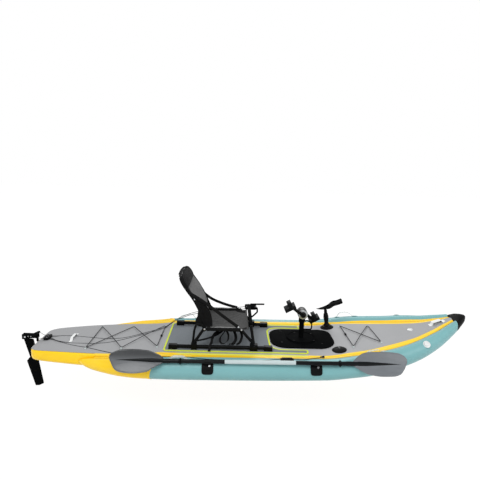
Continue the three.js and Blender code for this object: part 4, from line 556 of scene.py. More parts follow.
def loft(rings, closed=True):
    """Vertices, faces and UVs of a skin through rings; closed rings get fans at both ends."""
    count = len(rings[0])
    verts = [Vector(p) for ring in rings for p in ring]
    faces, uvs, run = [], [], 0.0
    for i, ring in enumerate(rings):
        if i:
            run += (Vector(ring[0]) - Vector(rings[i - 1][0])).length
        uvs += [(run, j / max(count - 1, 1)) for j in range(count)]
    span = count if closed else count - 1
    for i in range(len(rings) - 1):
        for j in range(span):
            k = (j + 1) % count
            faces.append((i * count + j, i * count + k, (i + 1) * count + k, (i + 1) * count + j))
    if closed:
        for start, flip in ((0, True), ((len(rings) - 1) * count, False)):
            centre = sum((verts[start + j] for j in range(count)), Vector()) / count
            verts.append(centre)
            uvs.append((0.0 if flip else run, 0.5))
            for j in range(count):
                k = (j + 1) % count
                pair = (start + k, start + j) if flip else (start + j, start + k)
                faces.append((*pair, len(verts) - 1))
    return verts, faces, uvs


def through(stops, steps=6):
    """A smooth line through points, as centripetal segments with even steps."""
    stops = [Vector(p) for p in stops]
    if len(stops) < 3:
        return stops
    ends = [stops[0] * 2 - stops[1]] + stops + [stops[-1] * 2 - stops[-2]]
    line = []
    for a, b, c, d in zip(ends, ends[1:], ends[2:], ends[3:]):
        k1, k2, k3 = (max((q - p).length, 1e-6) ** 0.5 for p, q in ((a, b), (b, c), (c, d)))
        m1 = (b - a) / k1 - (c - a) / (k1 + k2) + (c - b) / k2
        m2 = (c - b) / k2 - (d - b) / (k2 + k3) + (d - c) / k3
        m1, m2 = m1 * k2, m2 * k2
        for i in range(steps):
            t = i / steps
            line.append(b * (2 * t**3 - 3 * t**2 + 1) + m1 * (t**3 - 2 * t**2 + t)
                        + c * (3 * t**2 - 2 * t**3) + m2 * (t**3 - t**2))
    line.append(stops[-1])
    return line


def turned_corners(stops, radius, steps=5):
    """Straight runs between points with rounded corners."""
    stops = [Vector(p) for p in stops]
    line = [stops[0]]
    for before, corner, after in zip(stops, stops[1:], stops[2:]):
        back, ahead = before - corner, after - corner
        reach = min(radius / max(math.tan(back.angle(ahead) / 2), 0.05), back.length * 0.45,
                    ahead.length * 0.45)
        start, end = corner + back.normalized() * reach, corner + ahead.normalized() * reach
        for i in range(steps + 1):
            t = i / steps
            line.append(start * (1 - t) ** 2 + corner * 2 * t * (1 - t) + end * t * t)
    line.append(stops[-1])
    return line


def length_of(line):
    return sum((b - a).length for a, b in zip(line, line[1:]))


def frames_along(line, up=Z):
    """Point, sideways and up directions along a line, without twist."""
    out = []
    side = None
    for i, p in enumerate(line):
        ahead = (line[min(i + 1, len(line) - 1)] - line[max(i - 1, 0)]).normalized()
        if side is None:
            side = ahead.cross(up)
            if side.length < 0.1:
                side = ahead.cross(Y)
        side = (side - ahead * side.dot(ahead)).normalized()
        out.append((p, side, side.cross(ahead)))
    return out


def round_bar(line, radius, sides=16):
    """Rings of a round bar; radius may be a function of the share along the line."""
    total = max(length_of(line), 1e-9)
    rings, run = [], 0.0
    for i, (p, side, up) in enumerate(frames_along(line)):
        if i:
            run += (line[i] - line[i - 1]).length
        r = radius(run / total) if callable(radius) else radius
        rings.append([p + side * r * math.cos(a) + up * r * math.sin(a)
                      for a in turns(sides)])
    return rings


def strap_rings(line, across, width, thickness):
    """Rings of a flat strap whose face is square to its run and its width lies along across."""
    section = ((-1, -0.6), (-0.94, -1), (0.94, -1), (1, -0.6),
               (1, 0.6), (0.94, 1), (-0.94, 1), (-1, 0.6))
    rings = []
    for i, p in enumerate(line):
        ahead = (line[min(i + 1, len(line) - 1)] - line[max(i - 1, 0)]).normalized()
        side = (across - ahead * across.dot(ahead)).normalized()
        out = side.cross(ahead)
        half, lift = width / 2, thickness / 2
        rings.append([p + side * (s * half) + out * (h * lift) for s, h in section])
    return rings


def skinned(name, rings, label, body, **facts):
    """A piece whose surface runs through closed rings."""
    verts, faces, uvs = loft(rings)
    return piece(name, verts, faces, label, body, uvs=uvs, **facts)


def bar(name, line, radius, label, body, sides=16, **facts):
    return skinned(name, round_bar(line, radius, sides), label, body, **facts)


def strap(name, line, across, width, thickness, label, body, **facts):
    return skinned(name, strap_rings(line, Vector(across), width, thickness), label, body, **facts)


def turned(name, profile, origin, axis, label, body, sides=40, **facts):
    """A body of revolution: profile is a list of (radius, height along the axis)."""
    axis = Vector(axis).normalized()
    side = axis.orthogonal().normalized()
    other = axis.cross(side)
    rings = [[Vector(origin) + axis * h + (side * math.cos(a) + other * math.sin(a)) * max(r, 1e-5)
              for a in turns(sides)] for r, h in profile]
    return skinned(name, rings, label, body, **facts)


def round_shape(profile, sides, wide=(1, 1)):
    """Vertices and faces of a small round body on Z, from its (radius, height) profile."""
    verts, faces, _ = loft([[Vector((r * wide[0] * math.cos(a), r * wide[1] * math.sin(a), h))
                             for a in turns(sides)] for r, h in profile])
    return verts, faces


def bolt_shape(radius, height, sides=10):
    """A domed head with a shallow socket in its top."""
    return round_shape(((radius, 0.0), (radius, height * 0.55), (radius * 0.7, height),
                        (radius * 0.35, height), (radius * 0.3, height * 0.5),
                        (0.0001, height * 0.5)), sides)


def dressed(node, label, rounding=None, limit=32.0, flat=0.6):
    """A copy of a frame piece with merged points and rounded edges, in place of the node."""
    source = frame["nodes"][node]
    obj = bpy.data.objects.new(node + "_finish", source.data.copy())
    bm = bmesh.new()
    bm.from_mesh(obj.data)
    bmesh.ops.remove_doubles(bm, verts=bm.verts, dist=2e-5)
    bmesh.ops.dissolve_limit(bm, angle_limit=math.radians(flat), verts=bm.verts, edges=bm.edges)
    width = settings("gear").rounding if rounding is None else rounding
    hard = [e for e in bm.edges if len(e.link_faces) == 2
            and e.calc_face_angle(0) > math.radians(limit)]
    if width and hard:
        bmesh.ops.bevel(bm, geom=hard, offset=width, segments=2, profile=0.5, affect="EDGES",
                        clamp_overlap=True)
    bm.to_mesh(obj.data)
    bm.free()
    return settle(obj, label, source["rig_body"], (node,), limit, merge=1e-6)


def freeze(obj, name):
    """The object with its modifiers worked in, as a plain mesh under a new name."""
    deps = bpy.context.evaluated_depsgraph_get()
    mesh = bpy.data.meshes.new_from_object(obj.evaluated_get(deps))
    old = obj.data
    bpy.data.objects.remove(obj)
    if old.users == 0 and isinstance(old, bpy.types.Mesh):
        bpy.data.meshes.remove(old)
    return bpy.data.objects.new(name, mesh)


def node_tree(name, inputs):
    tree = bpy.data.node_groups.new(name, "GeometryNodeTree")
    tree.interface.new_socket("Geometry", in_out="INPUT", socket_type="NodeSocketGeometry")
    tree.interface.new_socket("Geometry", in_out="OUTPUT", socket_type="NodeSocketGeometry")
    for label, kind in inputs:
        tree.interface.new_socket(label, in_out="INPUT", socket_type=kind)
    return tree, tree.nodes.new("NodeGroupInput"), tree.nodes.new("NodeGroupOutput")


def scatter(tree, given, made, points, pattern, rotation, scale=None):
    """Puts a pattern on points, as real mesh with the given finish."""
    put, real, paint = (tree.nodes.new("GeometryNode" + kind) for kind in (
        "InstanceOnPoints", "RealizeInstances", "SetMaterial"))
    pairs = [(points, put.inputs["Points"]), (pattern, put.inputs["Instance"]),
             (rotation, put.inputs["Rotation"]), (put.outputs[0], real.inputs[0]),
             (real.outputs[0], paint.inputs["Geometry"]),
             (given.outputs["Finish"], paint.inputs["Material"]),
             (paint.outputs[0], made.inputs[0])]
    if scale:
        pairs.append((scale, put.inputs["Scale"]))
    for out, into in pairs:
        tree.links.new(out, into)
    return tree


def worked(holder, name, tree, inputs):
    """The holder with a node tree worked in, as a plain mesh under a new name."""
    bpy.context.scene.collection.objects.link(holder)
    change = holder.modifiers.new("Change", "NODES")
    change.node_group = tree
    keys = {item.name: item.identifier for item in tree.interface.items_tree
            if item.in_out == "INPUT"}
    for key, value in inputs.items():
        change[keys[key]] = value
    return freeze(holder, name)


def copies_tree():
    """Puts one small object on every point, turned to the point's aim and heading."""
    tree, given, made = node_tree("Copies on points", [
        ("Template", "NodeSocketObject"), ("Finish", "NodeSocketMaterial")])
    info = tree.nodes.new("GeometryNodeObjectInfo")
    tree.links.new(given.outputs["Template"], info.inputs["Object"])
    turned_so_far = None
    for key, axis in (("aim", "Z"), ("heading", "X")):
        told = tree.nodes.new("GeometryNodeInputNamedAttribute")
        told.data_type = "FLOAT_VECTOR"
        told.inputs["Name"].default_value = key
        turn = tree.nodes.new("FunctionNodeAlignRotationToVector")
        turn.axis = axis
        tree.links.new(told.outputs[0], turn.inputs["Vector"])
        if turned_so_far:
            turn.pivot_axis = "Z"
            tree.links.new(turned_so_far, turn.inputs["Rotation"])
        turned_so_far = turn.outputs[0]
    return scatter(tree, given, made, given.outputs["Geometry"], info.outputs["Geometry"],
                   turned_so_far)


def copies(name, template, spots, label, body, limit=40.0):
    """template: (verts, faces) about the origin; spots: (point, aim, heading)."""
    holder = raw(name + "_points", [p for p, _, _ in spots], [])
    for key, index in (("aim", 1), ("heading", 2)):
        layer = holder.data.attributes.new(key, "FLOAT_VECTOR", "POINT")
        layer.data.foreach_set("vector", [c for spot in spots for c in Vector(spot[index])])
    pattern = raw(name + "_shape", *template[:2])
    bpy.context.scene.collection.objects.link(pattern)
    tree = bpy.data.node_groups.get("Copies on points") or copies_tree()
    obj = worked(holder, name, tree, {"Template": pattern, "Finish": finish(label)})
    bpy.data.objects.remove(pattern)
    return settle(obj, label, body, limit=limit)


def stitch_tree():
    """Lays short rounded stitches along a curve at an even pitch."""
    tree, given, made = node_tree("Stitches", [
        ("Pitch", "NodeSocketFloat"), ("Length", "NodeSocketFloat"), ("Radius", "NodeSocketFloat"),
        ("Finish", "NodeSocketMaterial")])
    even = tree.nodes.new("GeometryNodeResampleCurve")
    even.mode = "LENGTH"
    ball = tree.nodes.new("GeometryNodeMeshUVSphere")
    for key, value in (("Segments", 6), ("Rings", 4), ("Radius", 1.0)):
        ball.inputs[key].default_value = value
    reach = tree.nodes.new("ShaderNodeCombineXYZ")
    tangent = tree.nodes.new("GeometryNodeInputTangent")
    turn = tree.nodes.new("FunctionNodeAlignRotationToVector")
    turn.axis = "X"
    for out, into in ((given.outputs["Geometry"], even.inputs["Curve"]),
                      (given.outputs["Pitch"], even.inputs["Length"]),
                      (given.outputs["Length"], reach.inputs[0]),
                      (given.outputs["Radius"], reach.inputs[1]),
                      (given.outputs["Radius"], reach.inputs[2]),
                      (tangent.outputs[0], turn.inputs["Vector"])):
        tree.links.new(out, into)
    return scatter(tree, given, made, even.outputs[0], ball.outputs["Mesh"], turn.outputs[0],
                   reach.outputs[0])


def stitches(name, lines, label, body, pitch=0.009, length=0.003, radius=0.0008):
    data = bpy.data.curves.new(name + "_lines", "CURVE")
    data.dimensions = "3D"
    for line in lines:
        spline = data.splines.new("POLY")
        spline.points.add(len(line) - 1)
        for point, p in zip(spline.points, line):
            point.co = (*p, 1)
    tree = bpy.data.node_groups.get("Stitches") or stitch_tree()
    obj = worked(bpy.data.objects.new(name + "_lines", data), name, tree, {
        "Pitch": pitch, "Length": length, "Radius": radius, "Finish": finish(label)})
    return settle(obj, label, body, limit=80.0)


# ---------------------------------------------------------------- the hull's lines

def stations(node):
    """The outline points of a frame piece at each place along X."""
    rows = {}
    for v in frame["nodes"][node].data.vertices:
        rows.setdefault(round(v.co.x, 4), set()).add((round(v.co.y, 5), round(v.co.z, 5)))
    return rows


def through_values(places, values):
    """A function that passes through the values without overshoot."""
    steps = [b - a for a, b in zip(places, places[1:])]
    slopes = [(b - a) / h for a, b, h in zip(values, values[1:], steps)]
    tangents = [slopes[0]]
    for i in range(1, len(places) - 1):
        a, b = slopes[i - 1], slopes[i]
        if a * b <= 0:
            tangents.append(0.0)
        else:
            w1, w2 = 2 * steps[i] + steps[i - 1], steps[i] + 2 * steps[i - 1]
            tangents.append((w1 + w2) / (w1 / a + w2 / b))
    tangents.append(slopes[-1])

    def value(x):
        i = max(0, min(len(steps) - 1, sum(1 for p in places[1:-1] if p <= x)))
        t = min(max((x - places[i]) / steps[i], 0.0), 1.0)
        h = steps[i]
        return (values[i] * (2 * t**3 - 3 * t**2 + 1) + h * tangents[i] * (t**3 - 2 * t**2 + t)
                + values[i + 1] * (3 * t**2 - 2 * t**3) + h * tangents[i + 1] * (t**3 - t**2))
    return value


class HullLines:
    """Board, deck and tube sizes at any place along X, smooth between the frame's stations."""

    def __init__(self):
        board = {x: row for x, row in stations("floor_board").items()
                 if len(row) >= 12 and not 0.3 < x < 0.56}
        skin = stations("deck_skin")
        self.places = sorted(board)
        self.stern, self.nose = self.places[0], self.places[-1]
        widths, lows, tops, edges = [], [], [], []
        for x in self.places:
            row = board[x]
            widths.append(max(y for y, _ in row))
            lows.append(min(z for _, z in row))
            near = skin.get(x)
            tops.append(max(z for _, z in row) + SKIN)
            edges.append(max(y for y, _ in near) if near else widths[-1] * 0.955)
        self.board = through_values(self.places, widths)
        self.bottom = through_values(self.places, lows)
        self.top = through_values(self.places, tops)
        self.edge = through_values(self.places, edges)
        tube = {x: row for x, row in stations("port_tube").items() if len(row) >= 16}
        self.tube_places = sorted(tube)
        extent = [(min(y for y, _ in tube[x]), max(y for y, _ in tube[x]),
                   min(z for _, z in tube[x]), max(z for _, z in tube[x]))
                   for x in self.tube_places]
        self.inner, self.outer, self.low, self.crown = (
            through_values(self.tube_places, [e[i] for e in extent]) for i in range(4))
        self.tail = self.tube_places[0]

    def tube(self, x):
        inner, outer, low, crown = self.inner(x), self.outer(x), self.low(x), self.crown(x)
        return SimpleNamespace(y=(inner + outer) / 2, z=(low + crown) / 2,
                               w=(outer - inner) / 2, h=(crown - low) / 2)

    def on_tube(self, x, side, degrees, lift=0.0):
        """Point and outward direction on a tube: degrees are counted up from level."""
        t = self.tube(x)
        c, s = math.cos(math.radians(degrees)), math.sin(math.radians(degrees))
        normal = Vector((0, side * c * t.h, s * t.w)).normalized()
        return Vector((x, side * (t.y + t.w * c), t.z + t.h * s)) + normal * lift, normal

    def spread(self, start, end, step=0.03):
        """Places between start and end, closer where the hull turns in."""
        count = max(int((end - start) / step), 2)
        return sorted({start, end, *(start + (end - start) * i / count for i in range(count + 1)),
                       *(p for p in self.places if start < p < end)})


lines = HullLines()


# ---------------------------------------------------------------- stage

class KAYAK_OT_stage(bpy.types.Operator):
    """Camera at the photograph's place, soft studio light and a plain pale floor"""
    bl_idname = "kayak.stage"
    bl_label = "Stage"

    def execute(self, context):
        stage = settings("stage")
        scene = context.scene
        scene.view_settings.view_transform = "Standard"
        data = bpy.data.cameras.new("view")
        data.lens = stage.lens
        data.sensor_width = 36
        data.sensor_fit = "HORIZONTAL"
        data.clip_end = 100
        camera = bpy.data.objects.new("view", data)
        right = Vector((0.99938094, -0.01541951, 0.03162249))
        up = Vector((-0.02846413, 0.17388533, 0.98435445))
        back = -Vector((0.02067695, 0.98464518, -0.17333878))
        turn = Matrix((right, up, back)).transposed().to_4x4()
        camera.matrix_world = Matrix.Translation((-0.21685, -3.57597, 1.66643)) @ turn
        scene.collection.objects.link(camera)
        scene.camera = camera
        self.lamps(scene)
        self.floor(scene, -stage.floor)
        self.sky(scene, stage.sky)
        return {"FINISHED"}

    def lamps(self, scene):
        for name, place, aim, width, watts in (
                ("key", (-2.2, -3.4, 4.6), (0, 0, 0.1), 3.2, 150),
                ("fill", (3.6, -2.6, 3.0), (0.4, 0, 0.2), 3.0, 62),
                ("rim", (0.5, 4.2, 3.4), (0, 0, 0.2), 3.4, 80)):
            data = bpy.data.lights.new(name, "AREA")
            data.shape = "DISK"
            data.size = width
            data.energy = watts
            lamp = bpy.data.objects.new(name, data)
            lamp.location = place
            lamp.rotation_euler = (Vector(aim) - Vector(place)).to_track_quat("-Z", "Y").to_euler()
            scene.collection.objects.link(lamp)

    def floor(self, scene, height):
        reach = 30.0
        corners = ((-1, -1), (1, -1), (1, 1), (-1, 1))
        floor = raw("floor", [(reach * x, reach * y, height) for x, y in corners], [(0, 1, 2, 3)])
        scene.collection.objects.link(floor)
        material = bpy.data.materials.new("floor")
        material.use_nodes = True
        tree = material.node_tree
        tree.nodes.clear()
        out = tree.nodes.new("ShaderNodeOutputMaterial")
        dull = tree.nodes.new("ShaderNodeBsdfDiffuse")
        dull.inputs["Color"].default_value = (0.86, 0.86, 0.86, 1)
        glow = tree.nodes.new("ShaderNodeEmission")
        blend = tree.nodes.new("ShaderNodeMixShader")
        path = tree.nodes.new("ShaderNodeLightPath")
        seen = tree.nodes.new("ShaderNodeMath")
        seen.operation = "MAXIMUM"
        keep = tree.nodes.new("ShaderNodeMath")
        keep.operation = "MULTIPLY"
        keep.inputs[1].default_value = 0.88
        glow.inputs["Strength"].default_value = 1.07
        for made, into in ((path.outputs["Is Camera Ray"], seen.inputs[0]),
                           (path.outputs["Is Glossy Ray"], seen.inputs[1]),
                           (seen.outputs[0], keep.inputs[0]), (keep.outputs[0], blend.inputs[0]),
                           (dull.outputs[0], blend.inputs[1]), (glow.outputs[0], blend.inputs[2]),
                           (blend.outputs[0], out.inputs[0])):
            tree.links.new(made, into)
        floor.data.materials.append(material)

    def sky(self, scene, strength):
        world = bpy.data.worlds.new("studio")
        scene.world = world
        world.use_nodes = True
        tree = world.node_tree
        tree.nodes.clear()
        out = tree.nodes.new("ShaderNodeOutputWorld")
        even, white = (tree.nodes.new("ShaderNodeBackground") for _ in range(2))
        even.inputs["Strength"].default_value = strength
        for light in (even, white):
            light.inputs["Color"].default_value = (1, 1, 1, 1)
        path = tree.nodes.new("ShaderNodeLightPath")
        blend = tree.nodes.new("ShaderNodeMixShader")
        tree.links.new(path.outputs["Is Camera Ray"], blend.inputs[0])
        tree.links.new(even.outputs[0], blend.inputs[1])
        tree.links.new(white.outputs[0], blend.inputs[2])
        tree.links.new(blend.outputs[0], out.inputs[0])


# ---------------------------------------------------------------- cords

port_cable_route = [
    (-1.7892, 0.034, 0.111), (-1.765, 0.036, 0.1104), (-1.735, 0.042, 0.1101),
    (-1.695, 0.047, 0.1111),
    (-1.62, 0.042, 0.1139), (-1.549, 0.026, 0.1168), (-1.475, 0.009, 0.1198),
    (-1.402, -0.009, 0.1221),
    (-1.338, -0.022, 0.1238), (-1.275, -0.03, 0.1257), (-1.21, -0.028, 0.1281),
    (-1.147, -0.014, 0.1298),
    (-1.09, 0.016, 0.1313), (-1.037, 0.055, 0.1334), (-0.965, 0.108, 0.1365), (-0.9, 0.155, 0.1396),
    (-0.85, 0.188, 0.1454), (-0.811, 0.212, 0.1504), (-0.785, 0.227, 0.166), (-0.76, 0.242, 0.182),
    (-0.736, 0.257, 0.198), (-0.69, 0.286, 0.2167), (-0.64, 0.314, 0.2314), (-0.58, 0.344, 0.2458),
    (-0.508, 0.369, 0.2568), (-0.44, 0.376, 0.265), (-0.38, 0.371, 0.2724), (-0.326, 0.362, 0.2799),
    (-0.27, 0.359, 0.2874), (-0.22, 0.361, 0.295), (-0.169, 0.364, 0.3027), (-0.115, 0.366, 0.3102),
    (-0.0676, 0.366, 0.317),
]
starboard_cable_route = [
    (-1.7892, -0.032, 0.111), (-1.765, -0.038, 0.1104), (-1.735, -0.055, 0.113),
    (-1.7, -0.078, 0.1174),
    (-1.665, -0.0945, 0.1186), (-1.62, -0.105, 0.1166), (-1.585, -0.112, 0.1154),
    (-1.52, -0.121, 0.118),
    (-1.457, -0.127, 0.1205), (-1.392, -0.129, 0.1224), (-1.329, -0.126, 0.124),
    (-1.272, -0.115, 0.1258),
    (-1.22, -0.096, 0.1277), (-1.15, -0.056, 0.1297), (-1.083, -0.009, 0.1315),
    (-1.015, 0.04, 0.1343),
    (-0.946, 0.092, 0.1373), (-0.9, 0.126, 0.1396), (-0.85, 0.162, 0.1454), (-0.811, 0.189, 0.1504),
    (-0.785, 0.205, 0.166), (-0.76, 0.22, 0.18), (-0.736, 0.236, 0.194), (-0.69, 0.267, 0.2117),
    (-0.64, 0.298, 0.2244), (-0.58, 0.325, 0.2368), (-0.508, 0.343, 0.2468), (-0.44, 0.352, 0.255),
    (-0.389, 0.355, 0.2596), (-0.326, 0.352, 0.2659), (-0.27, 0.346, 0.2744),
    (-0.228, 0.338, 0.2833),
    (-0.17, 0.326, 0.2947), (-0.115, 0.314, 0.3052), (-0.0676, 0.306, 0.316),
]
lift_line_route = [
    (-1.7886, -0.008, 0.111), (-1.765, -0.02, 0.1104), (-1.735, -0.045, 0.1101),
    (-1.7, -0.072, 0.1108),
    (-1.65, -0.103, 0.1129), (-1.583, -0.141, 0.1156), (-1.495, -0.18, 0.1192),
    (-1.404, -0.213, 0.1223),
    (-1.31, -0.254, 0.1248), (-1.22, -0.296, 0.1279), (-1.128, -0.333, 0.1299),
    (-1.04, -0.36, 0.1311),
    (-0.946, -0.382, 0.1352), (-0.905, -0.391, 0.1376), (-0.88, -0.396, 0.1386),
    (-0.809, -0.408, 0.1472),
    (-0.745, -0.417, 0.1536), (-0.65, -0.426, 0.155), (-0.56, -0.43, 0.1569),
    (-0.5, -0.433, 0.1583),
    (-0.44, -0.443, 0.1573), (-0.373, -0.452, 0.1581), (-0.28, -0.457, 0.1582),
    (-0.18, -0.459, 0.1589),
    (-0.075, -0.46, 0.1597), (0.04, -0.459, 0.1617), (0.12, -0.4565, 0.1654), (0.18, -0.453, 0.171),
    (0.205, -0.4512, 0.1734), (0.252, -0.4508, 0.1736), (0.3, -0.4508, 0.1736),
    (0.322, -0.4498, 0.1724),
    (0.365, -0.445, 0.1668), (0.41, -0.434, 0.1661), (0.455, -0.42, 0.1673),
    (0.495, -0.408, 0.1673),
    (0.524, -0.401, 0.1675),
]


class KAYAK_OT_cords(bpy.types.Operator):
    """Steering cables, and the line that lifts the rudder"""
    bl_idname = "kayak.cords"
    bl_label = "Cords"

    def execute(self, context):
        for side, route in (("port", port_cable_route), ("starboard", starboard_cable_route)):
            node = side + "_steering_cable"
            line = through(route, 3)
            cable = bar(side + "_cable", line, 0.0025, "sheath", "hull", 10, replaces=(node,),
                        slot="cable_sheath", limit=80.0, ride=False)
            length_of(line)
            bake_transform(cable)
        line = through(lift_line_route, 3)
        toggle = dressed("line_toggle", "plastic", 0.001)
        lift = bar("lift_line", line, 0.0025, "rope", "hull", 10, replaces=("rudder_lift_line",),
                   slot="cord_cover", limit=80.0)
        length_of(line)
        dressed("line_cleat", "plastic", 0.0012)
        return {"FINISHED"}


# ---------------------------------------------------------------- hull

class KAYAK_OT_board(bpy.types.Operator):
    """Floor board with its rounded edges and the drive's well"""
    bl_idname = "kayak.board"
    bl_label = "Floor board"

    def ring(self, x):
        side, low, high = lines.board(x), lines.bottom(x), lines.top(x) - SKIN
        big = min(0.042, side * 0.9, (high - low) * 0.5)
        small = min(0.016, side * 0.4)
        half = [(side - big + big * math.sin(a), low + big - big * math.cos(a))
                for a in evenly(0, math.pi / 2, 7)]
        half += [(side - small + small * math.cos(a), high - small + small * math.sin(a))
                 for a in evenly(0, math.pi / 2, 5)]
        return [Vector((x, y, z)) for y, z in half] + [Vector((x, -y, z)) for y,
                                                       z in reversed(half)]

    def execute(self, context):
        near = [lines.stern + 0.006 * i for i in range(14)]
        places = sorted({*near, *lines.spread(lines.stern + 0.08, lines.nose)})
        verts, faces, _ = loft([self.ring(x) for x in places])
        board = raw("board_shape", verts, faces)
        aft, fore, half = WELL
        corners = [(aft, -half), (fore, -half), (fore, half), (aft, half)]
        sides = [(i, (i + 1) % 4, 4 + (i + 1) % 4, 4 + i) for i in range(4)]
        cutter = raw("well", [(x, y, z) for z in (-0.05, 0.3) for x, y in corners],
                     [(3, 2, 1, 0), (4, 5, 6, 7), *sides])
        for obj in (board, cutter):
            context.scene.collection.objects.link(obj)
            bm = bmesh.new()
            bm.from_mesh(obj.data)
            bmesh.ops.remove_doubles(bm, verts=bm.verts, dist=1e-5)
            bmesh.ops.recalc_face_normals(bm, faces=bm.faces)
            bm.to_mesh(obj.data)
            bm.free()
        cut = board.modifiers.new("Well", "BOOLEAN")
        cut.object, cut.operation, cut.solver = cutter, "DIFFERENCE", "EXACT"
        made = freeze(board, "floor_board_skin")
        bpy.data.objects.remove(cutter)
        settle(made, "trim", "hull", ("floor_board",), 30.0)
        return {"FINISHED"}


class KAYAK_OT_tubes(bpy.types.Operator):
    """Side tubes, yellow at the tail and teal ahead of the slanted seam"""
    bl_idname = "kayak.tubes"
    bl_label = "Side tubes"

    def execute(self, context):
        places = lines.spread(lines.tail, lines.nose, 0.025)
        for name, side in SIDES:
            rings = []
            for x in places:
                t = lines.tube(x)
                rings.append([Vector((x, side * (t.y + t.w * math.cos(a)), t.z + t.h * math.sin(a)))
                              for a in turns(56)])
            skinned(name + "_tube_skin", rings, "tube", "hull", replaces=(name + "_tube",),
                 slot="teal_fabric", limit=60.0)
            start, out, up = TAIL
            t = lines.tube(-0.8)
            rings = []
            for degrees in evenly(-75, 190, 40):
                angle = math.radians(degrees)
                y, z = t.y + t.w * math.cos(angle), t.z + t.h * math.sin(angle)
                point, normal = lines.on_tube(-(y * out - z * up + start), side, degrees, 0.0008)
                rings.append([point + X * (s * 0.012) + normal * (h * 0.0007)
                              for s, h in ((-1, -1), (1, -1), (1, 1), (-1, 1))])
            skinned(name + "_tail_seam", rings, "trim", "hull", slot="yellow_fabric")
        return {"FINISHED"}


class KAYAK_OT_strips(bpy.types.Operator):
    """Yellow rail strips that bridge the board's edge and the tubes"""
    bl_idname = "kayak.strips"
    bl_label = "Rail strips"

    def ring(self, x, side, depth):
        t = lines.tube(x)
        edge, board, top = lines.edge(x), lines.board(x), lines.top(x)
        reach = 22.5 if x < 0.6 else 22.5 + 21.5 * min((x - 0.6) / 0.25, 1)
        limit = math.radians(90 + reach)
        outer = (t.y + (t.w + 0.0036) * math.cos(limit), t.z + (t.h + 0.0036) * math.sin(limit))
        start = (edge - 0.001, top)
        joint = (board + 0.004, min(top, outer[1]) - depth)
        over = []
        for i in range(6):
            s = i / 5
            y = start[0] + (joint[0] - start[0]) * s
            over.append((y, start[1] + (joint[1] - start[1]) * s ** 3
                         + 0.0008 * math.sin(math.pi * s)))
        for i in range(1, 9):
            s = i / 8
            y = joint[0] + (outer[0] - joint[0]) * s
            arch = math.sin(math.pi * s) ** 0.8 * min(0.006, depth * 1.2)
            over.append((y, joint[1] + (outer[1] - joint[1]) * s + arch * (1 - 0.3 * s)))
        shoulder = math.radians(90 + 67.5)
        inner = (t.y + (t.w + 0.0008) * math.cos(shoulder),
                 t.z + (t.h + 0.0008) * math.sin(shoulder))
        under = [(outer[0] + 0.001, outer[1] - 0.0032), inner,
                 (board + 0.0005, min(inner[1], top - 0.02)),
                 (board - 0.016, top - 0.0035), (edge + 0.0004, top - 0.0032)]
        return [Vector((x, side * y, z)) for y, z in over + under]

    def execute(self, context):
        depth = settings("hull").groove
        start = min(stations("port_rail_strip"))
        places = lines.spread(start, lines.nose, 0.025)
        for name, side in SIDES:
            rings = []
            for x in places:
                fade = min(max((x - start) / 0.15, 0), 1) * min(max((lines.nose - x) / 0.3, 0.1), 1)
                rings.append(self.ring(x, side, depth * (0.15 + 0.85 * fade)))
            skinned(name + "_rail_skin", rings, "strip", "hull", replaces=(name + "_rail_strip",),
                 slot="yellow_fabric", limit=50.0)
        return {"FINISHED"}


